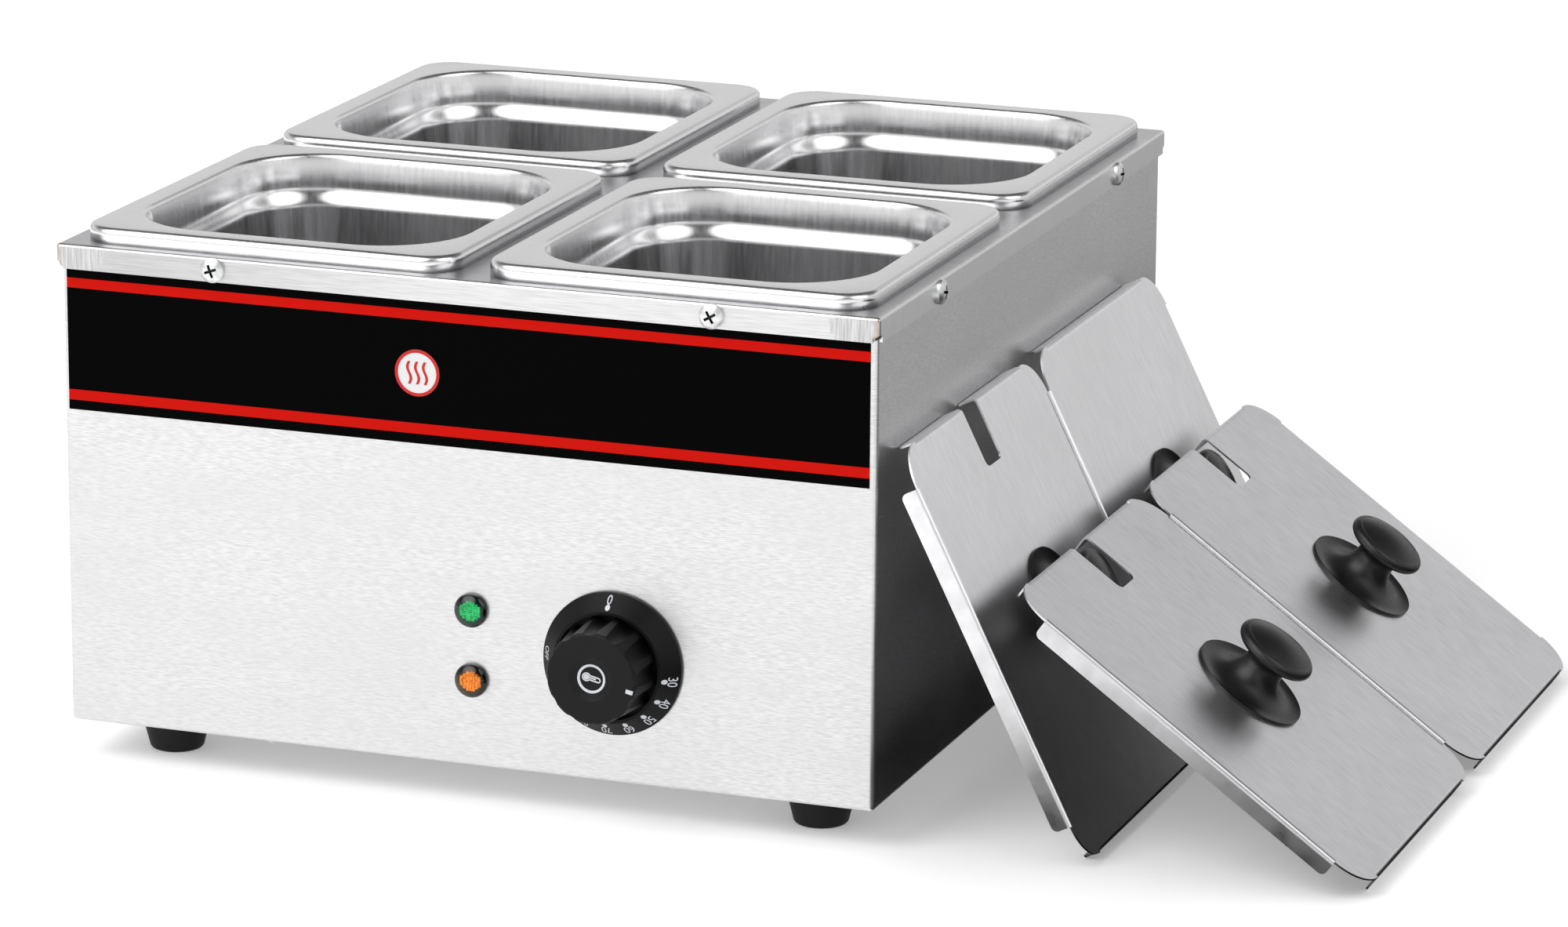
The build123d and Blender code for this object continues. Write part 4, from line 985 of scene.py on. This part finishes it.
def pan_loops(half_x, half_y):
    """Loops of a pan's upper side, from the foot of its rim over the flange to its floor."""
    loops = [corner_loop(half_x, half_y, RIM_CORNER, -RIM_DROP)]
    for i in range(RIM_POINTS + 1):
        angle = i * math.pi / (2 * RIM_POINTS)
        inset = RIM_BEND * (1 - math.cos(angle))
        loops.append(corner_loop(half_x - inset, half_y - inset, RIM_CORNER - inset,
                                 -RIM_BEND * (1 - math.sin(angle))))
    wall = []
    collar = SHOULDER_TOP - MOUTH_BEND
    sweep = math.pi / 2 - math.atan(2 * COLLAR_LEAN / collar)
    for i in range(MOUTH_POINTS + 1):
        angle = sweep * i / MOUTH_POINTS
        wall.append((-MOUTH_BEND * (1 - math.sin(angle)), -MOUTH_BEND * (1 - math.cos(angle))))
    for i in range(1, COLLAR_POINTS):
        share = i / COLLAR_POINTS
        wall.append((COLLAR_LEAN * (1 - (1 - share) ** 2), -MOUTH_BEND - collar * share))
    for i in range(SHOULDER_POINTS + 1):
        share = i / SHOULDER_POINTS
        inset = COLLAR_LEAN + (SHOULDER_STEP - COLLAR_LEAN) * (1 - math.cos(math.pi * share)) / 2
        wall.append((inset, -SHOULDER_TOP - SHOULDER_HEIGHT * share))
    floor = PAN_DEPTH - PAN_SHEET
    start = floor - FLOOR_ROUND * (1 - math.sin(PAN_DRAFT))
    lean = SHOULDER_STEP + (start - SHOULDER_TOP - SHOULDER_HEIGHT) * math.tan(PAN_DRAFT)
    for i in range(FLOOR_POINTS + 1):
        angle = PAN_DRAFT + (math.pi / 2 - PAN_DRAFT) * i / FLOOR_POINTS
        wall.append((lean + FLOOR_ROUND * (math.cos(PAN_DRAFT) - math.cos(angle)),
                     -floor + FLOOR_ROUND * (1 - math.sin(angle))))
    return loops + [corner_loop(half_x - FLANGE - inset, half_y - FLANGE - inset,
                                MOUTH_CORNER - inset, level) for inset, level in wall]


pan_steel, tree, shader = start_material("pan_steel")
pan_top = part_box("pan_front_left")[1].z
height = object_place(tree)[2]
on_rim = spread(tree, height, 0, 1, pan_top - SATIN_FROM, pan_top - SATIN_FULL)
lines = mix_values(tree, on_rim, lay_noise(tree, DRAWN_GRAIN, detail=4),
                   lay_noise(tree, RIM_GRAIN, detail=6))
# The inside is painted darker below the shoulder and lighter above it: painted shade and painted
# light; the satin rim keeps its own tone.
lit_above_shoulder = spread(tree, height, 0, 1, pan_top - SHOULDER_TOP - SHOULDER_HEIGHT,
               pan_top - SHOULDER_TOP)
drawn, upper, rolled = [
    shade(tree, lines, [(0.3, dim(steel, fade)), (0.62, steel)])
    for steel, fade in PAN_TONES_AND_PAINTED_LIGHT]
satin = spread(tree, on_rim, POLISHED_ROUGHNESS, SATIN_ROUGHNESS, 0, 1)
feed(tree, shader, {
    "Metallic": 1,
    "Base Color": mix_colours(tree, on_rim, mix_colours(tree, lit_above_shoulder, drawn, upper), rolled),
    "Roughness": reckon(tree, "ADD", satin, spread(tree, lines, -0.03, 0.03))})
emboss(tree, lines, shader, 0.03, 0.02 * MM)

for corner in ("front_left", "front_right", "rear_left", "rear_right"):
    pan_low, pan_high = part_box("pan_" + corner)
    middle = (pan_low + pan_high) / 2
    half = (pan_high - pan_low) / 2
    place = Matrix.Translation((middle.x, middle.y, pan_high.z))
    loops = pan_loops(half.x, half.y)
    count = len(loops[0])
    verts = [place @ Vector(point) for loop in loops for point in loop]
    faces = [(k * count + i, k * count + (i + 1) % count, (k + 1) * count + (i + 1) % count,
              (k + 1) * count + i) for k in range(len(loops) - 1) for i in range(count)]
    faces.append(tuple(range((len(loops) - 1) * count, len(loops) * count)))
    mesh = plain_mesh("pan_shell_" + corner, verts, faces, pan_steel)
    mesh.shade_smooth()
    pan = show("pan_shell_" + corner, mesh)
    wall = pan.modifiers.new("sheet", "SOLIDIFY")
    wall.thickness = PAN_SHEET
    wall.offset = -1
    wall.use_even_offset = True
    fit(pan, "pan_" + corner + "_body", "pan_steel", "pan_" + corner)

# Lids: stainless plates with sides folded down and a notch for the ladle, brushed along
# their length. Two lean on the case, and two more on the knobs of the first.
# The inner lids are painted lighter and the outer lids darker: painted light and shade on one
# steel.
LID_STEELS_PAINTED_LIGHT = {"inner": (0.91, 0.91, 0.925), "outer": (0.81, 0.81, 0.825)}
LID_ROUGHNESS = 0.33
LID_CONTRAST = 0.14
LID_GRAIN = (8 * MM, 0.34 * MM, 8 * MM)
LID_TILTS = {"inner": math.radians(63.5), "outer": math.radians(35.5)}
for pair, tilt in LID_TILTS.items():
    dress(brushed_steel(pair + "_lid_steel_painted_light", LID_STEELS_PAINTED_LIGHT[pair], LID_ROUGHNESS, LID_GRAIN,
                        (0, tilt, 0), LID_CONTRAST),
          *["lid_" + pair + "_" + row for row in ("front", "rear")])

# Lid knobs: turned mushroom grips of black bakelite, each drawn down on its lid by a screw
# from below. The moulding has a soft gloss and a patchy, paler tone.
BAKELITE = (0.008, 0.008, 0.0085)
bakelite = moulded("bakelite", BAKELITE, 0.36, grain=0.8 * MM, depth=0.03 * MM, lift=1.9,
                   gloss=0.4)
for pair in LID_TILTS:
    for row in ("front", "rear"):
        dress(bakelite, "lid_knob_" + pair + "_" + row)
        dress(zinc, "lid_screw_" + pair + "_" + row)

# Studio: a white floor, a large soft lamp high on the left, a soft room round it, and the
# photograph's viewpoint. A dark card on the floor shows only in the metal.
CAMERA_PLACE = (0.99685, -2.56315, 0.82251)
CAMERA_AZIMUTH = math.radians(19.92)
CAMERA_ELEVATION = math.radians(14.8)
CAMERA_ROLL = math.radians(0.39)
CAMERA_LENS = 154.64
CAMERA_SENSOR = 36
FLOOR_HALF = 6.0
FLOOR_WHITE = (0.93, 0.93, 0.93)
FLOOR_GLOW = 0.26
PURE_WHITE = (1.0, 1.0, 1.0)
ROOM_STRENGTH = 0.75
ROOM_BEHIND = ((0.0, 0.15, 0.15), (0.06, 0.55, 0.55), (0.12, 0.92, 0.92), (0.27, 0.80, 0.805),
               (0.41, 0.76, 0.765), (0.54, 0.12, 0.125), (1.0, 0.08, 0.085))
ROOM_BEFORE = ((0.0, 0.85, 0.85), (0.18, 0.80, 0.805), (0.34, 0.30, 0.305), (0.46, 0.12, 0.125),
               (1.0, 0.08, 0.085))
ROOM_TURN = (-0.2, 0.15)
WINDOWS = (((-0.357, -0.620, 0.695), 0.80, 0.94, 3.4), ((0.75, -0.20, 0.63), 0.89, 0.95, 2.0))

camera_data = bpy.data.cameras.new("camera")
camera_data.lens = CAMERA_LENS
camera_data.sensor_width = CAMERA_SENSOR
camera_data.sensor_fit = "HORIZONTAL"
camera = show("camera", camera_data)
turn = Matrix.Rotation(CAMERA_AZIMUTH, 4, "Z") @ Matrix.Rotation(
    math.pi / 2 - CAMERA_ELEVATION, 4, "X") @ Matrix.Rotation(CAMERA_ROLL, 4, "Z")
case_foot = Vector((deck_middle.x, deck_middle.y, 0))
camera.matrix_world = Matrix.Translation(case_foot + Vector(CAMERA_PLACE)) @ turn
bpy.context.scene.camera = camera


def stage_plane(name, low_x, high_x, low_y, high_y, level, material):
    """Flat piece of the studio that isn't part of the warmer."""
    corners = [(low_x, low_y, level), (high_x, low_y, level), (high_x, high_y, level),
               (low_x, high_y, level)]
    plane = show(name, plain_mesh(name, corners, [(0, 1, 2, 3)], material))
    return plane


floor_paper, tree, shader = start_material("floor_paper")
rays = tree.nodes.new("ShaderNodeLightPath").outputs
seen = reckon(tree, "MAXIMUM", rays["Is Camera Ray"], reckon(
    tree, "MAXIMUM", rays["Is Glossy Ray"], rays["Is Transmission Ray"]))
feed(tree, shader, {"Base Color": FLOOR_WHITE, "Roughness": 0.8, "Specular IOR Level": 0.1,
                    "Emission Color": PURE_WHITE,
                    "Emission Strength": reckon(tree, "MULTIPLY", seen, FLOOR_GLOW)})
stage_plane("floor", -FLOOR_HALF, FLOOR_HALF, -FLOOR_HALF, FLOOR_HALF, 0, floor_paper)

# The card is a painted reflection: black near the case and glowing further out, seen only in the
# metal as shade and light on the side wall.
CARD_START = 0.14
CARD_END = 0.21
CARD_PAST = 0.14
CARD_REFLECTION_GLOW = 0.50
CARD_WIDE = 1.6
CARD_NEAR = -0.35
CARD_FAR = 2.2
CARD_LEVEL = 0.5 * MM
CARD_GAP = 5 * MM
card_painted_reflection, tree, shader = start_material("card_painted_reflection")
from_wall, from_front = object_place(tree)[:2]
aside = spread(tree, from_wall, 0, CARD_REFLECTION_GLOW, case_high.x + CARD_START,
               case_high.x + CARD_END)
past = spread(tree, from_front, 0, 1, case_high.y, case_high.y + CARD_PAST)
feed(tree, shader, {"Base Color": (0, 0, 0), "Specular IOR Level": 0,
                    "Emission Color": PURE_WHITE,
                    "Emission Strength": reckon(tree, "MULTIPLY", aside, past)})
card = stage_plane("card", case_high.x + CARD_GAP, case_high.x + CARD_WIDE, CARD_NEAR, CARD_FAR,
                   CARD_LEVEL, card_painted_reflection)
for ray in ("camera", "diffuse", "shadow", "transmission"):
    setattr(card, "visible_" + ray, False)

KEY_PLACE = (-0.95, -1.65, 2.05)
KEY_SIDE = 1.5
KEY_POWER = 26
KEY_AIM = (0, 0, 0.15)
key_data = bpy.data.lights.new("key", "AREA")
key_data.shape = "SQUARE"
key_data.size = KEY_SIDE
key_data.energy = KEY_POWER
key = show("key", key_data)
key.visible_glossy = False
aim = case_foot + Vector(KEY_AIM) - Vector(KEY_PLACE)
key.matrix_world = (Matrix.Translation(KEY_PLACE)
                    @ aim.to_track_quat("-Z", "Y").to_matrix().to_4x4())

world = bpy.data.worlds.new("studio")
world.use_nodes = True
tree = world.node_tree
way = tree.nodes.new("ShaderNodeTexCoord").outputs["Generated"]
split = tree.nodes.new("ShaderNodeSeparateXYZ")
feed(tree, split, {"Vector": way})
behind, before = [
    shade(tree, split.outputs["Z"], [(level, (grey, grey, blue)) for level, grey, blue in ramp])
    for ramp in (ROOM_BEHIND, ROOM_BEFORE)]
room = mix_colours(tree, spread(tree, split.outputs["Y"], 0, 1, *ROOM_TURN), before, behind)
for window_way, rim, core, white in WINDOWS:
    facing = tree.nodes.new("ShaderNodeVectorMath")
    facing.operation = "DOT_PRODUCT"
    facing.inputs[1].default_value = window_way
    feed(tree, facing, {0: way})
    room = mix_colours(tree, spread(tree, facing.outputs["Value"], 0, 1, rim, core), room,
                       (white, white, white))
rays = tree.nodes.new("ShaderNodeLightPath").outputs
seen = reckon(tree, "MAXIMUM", rays["Is Camera Ray"], rays["Is Transmission Ray"])
soft = mix_colours(tree, rays["Is Glossy Ray"], (ROOM_STRENGTH,) * 3, room)
feed(tree, tree.nodes["Background"], {"Color": mix_colours(tree, seen, soft, PURE_WHITE),
                                      "Strength": 1})
bpy.context.scene.world = world
bpy.context.scene.view_settings.view_transform = "Standard"
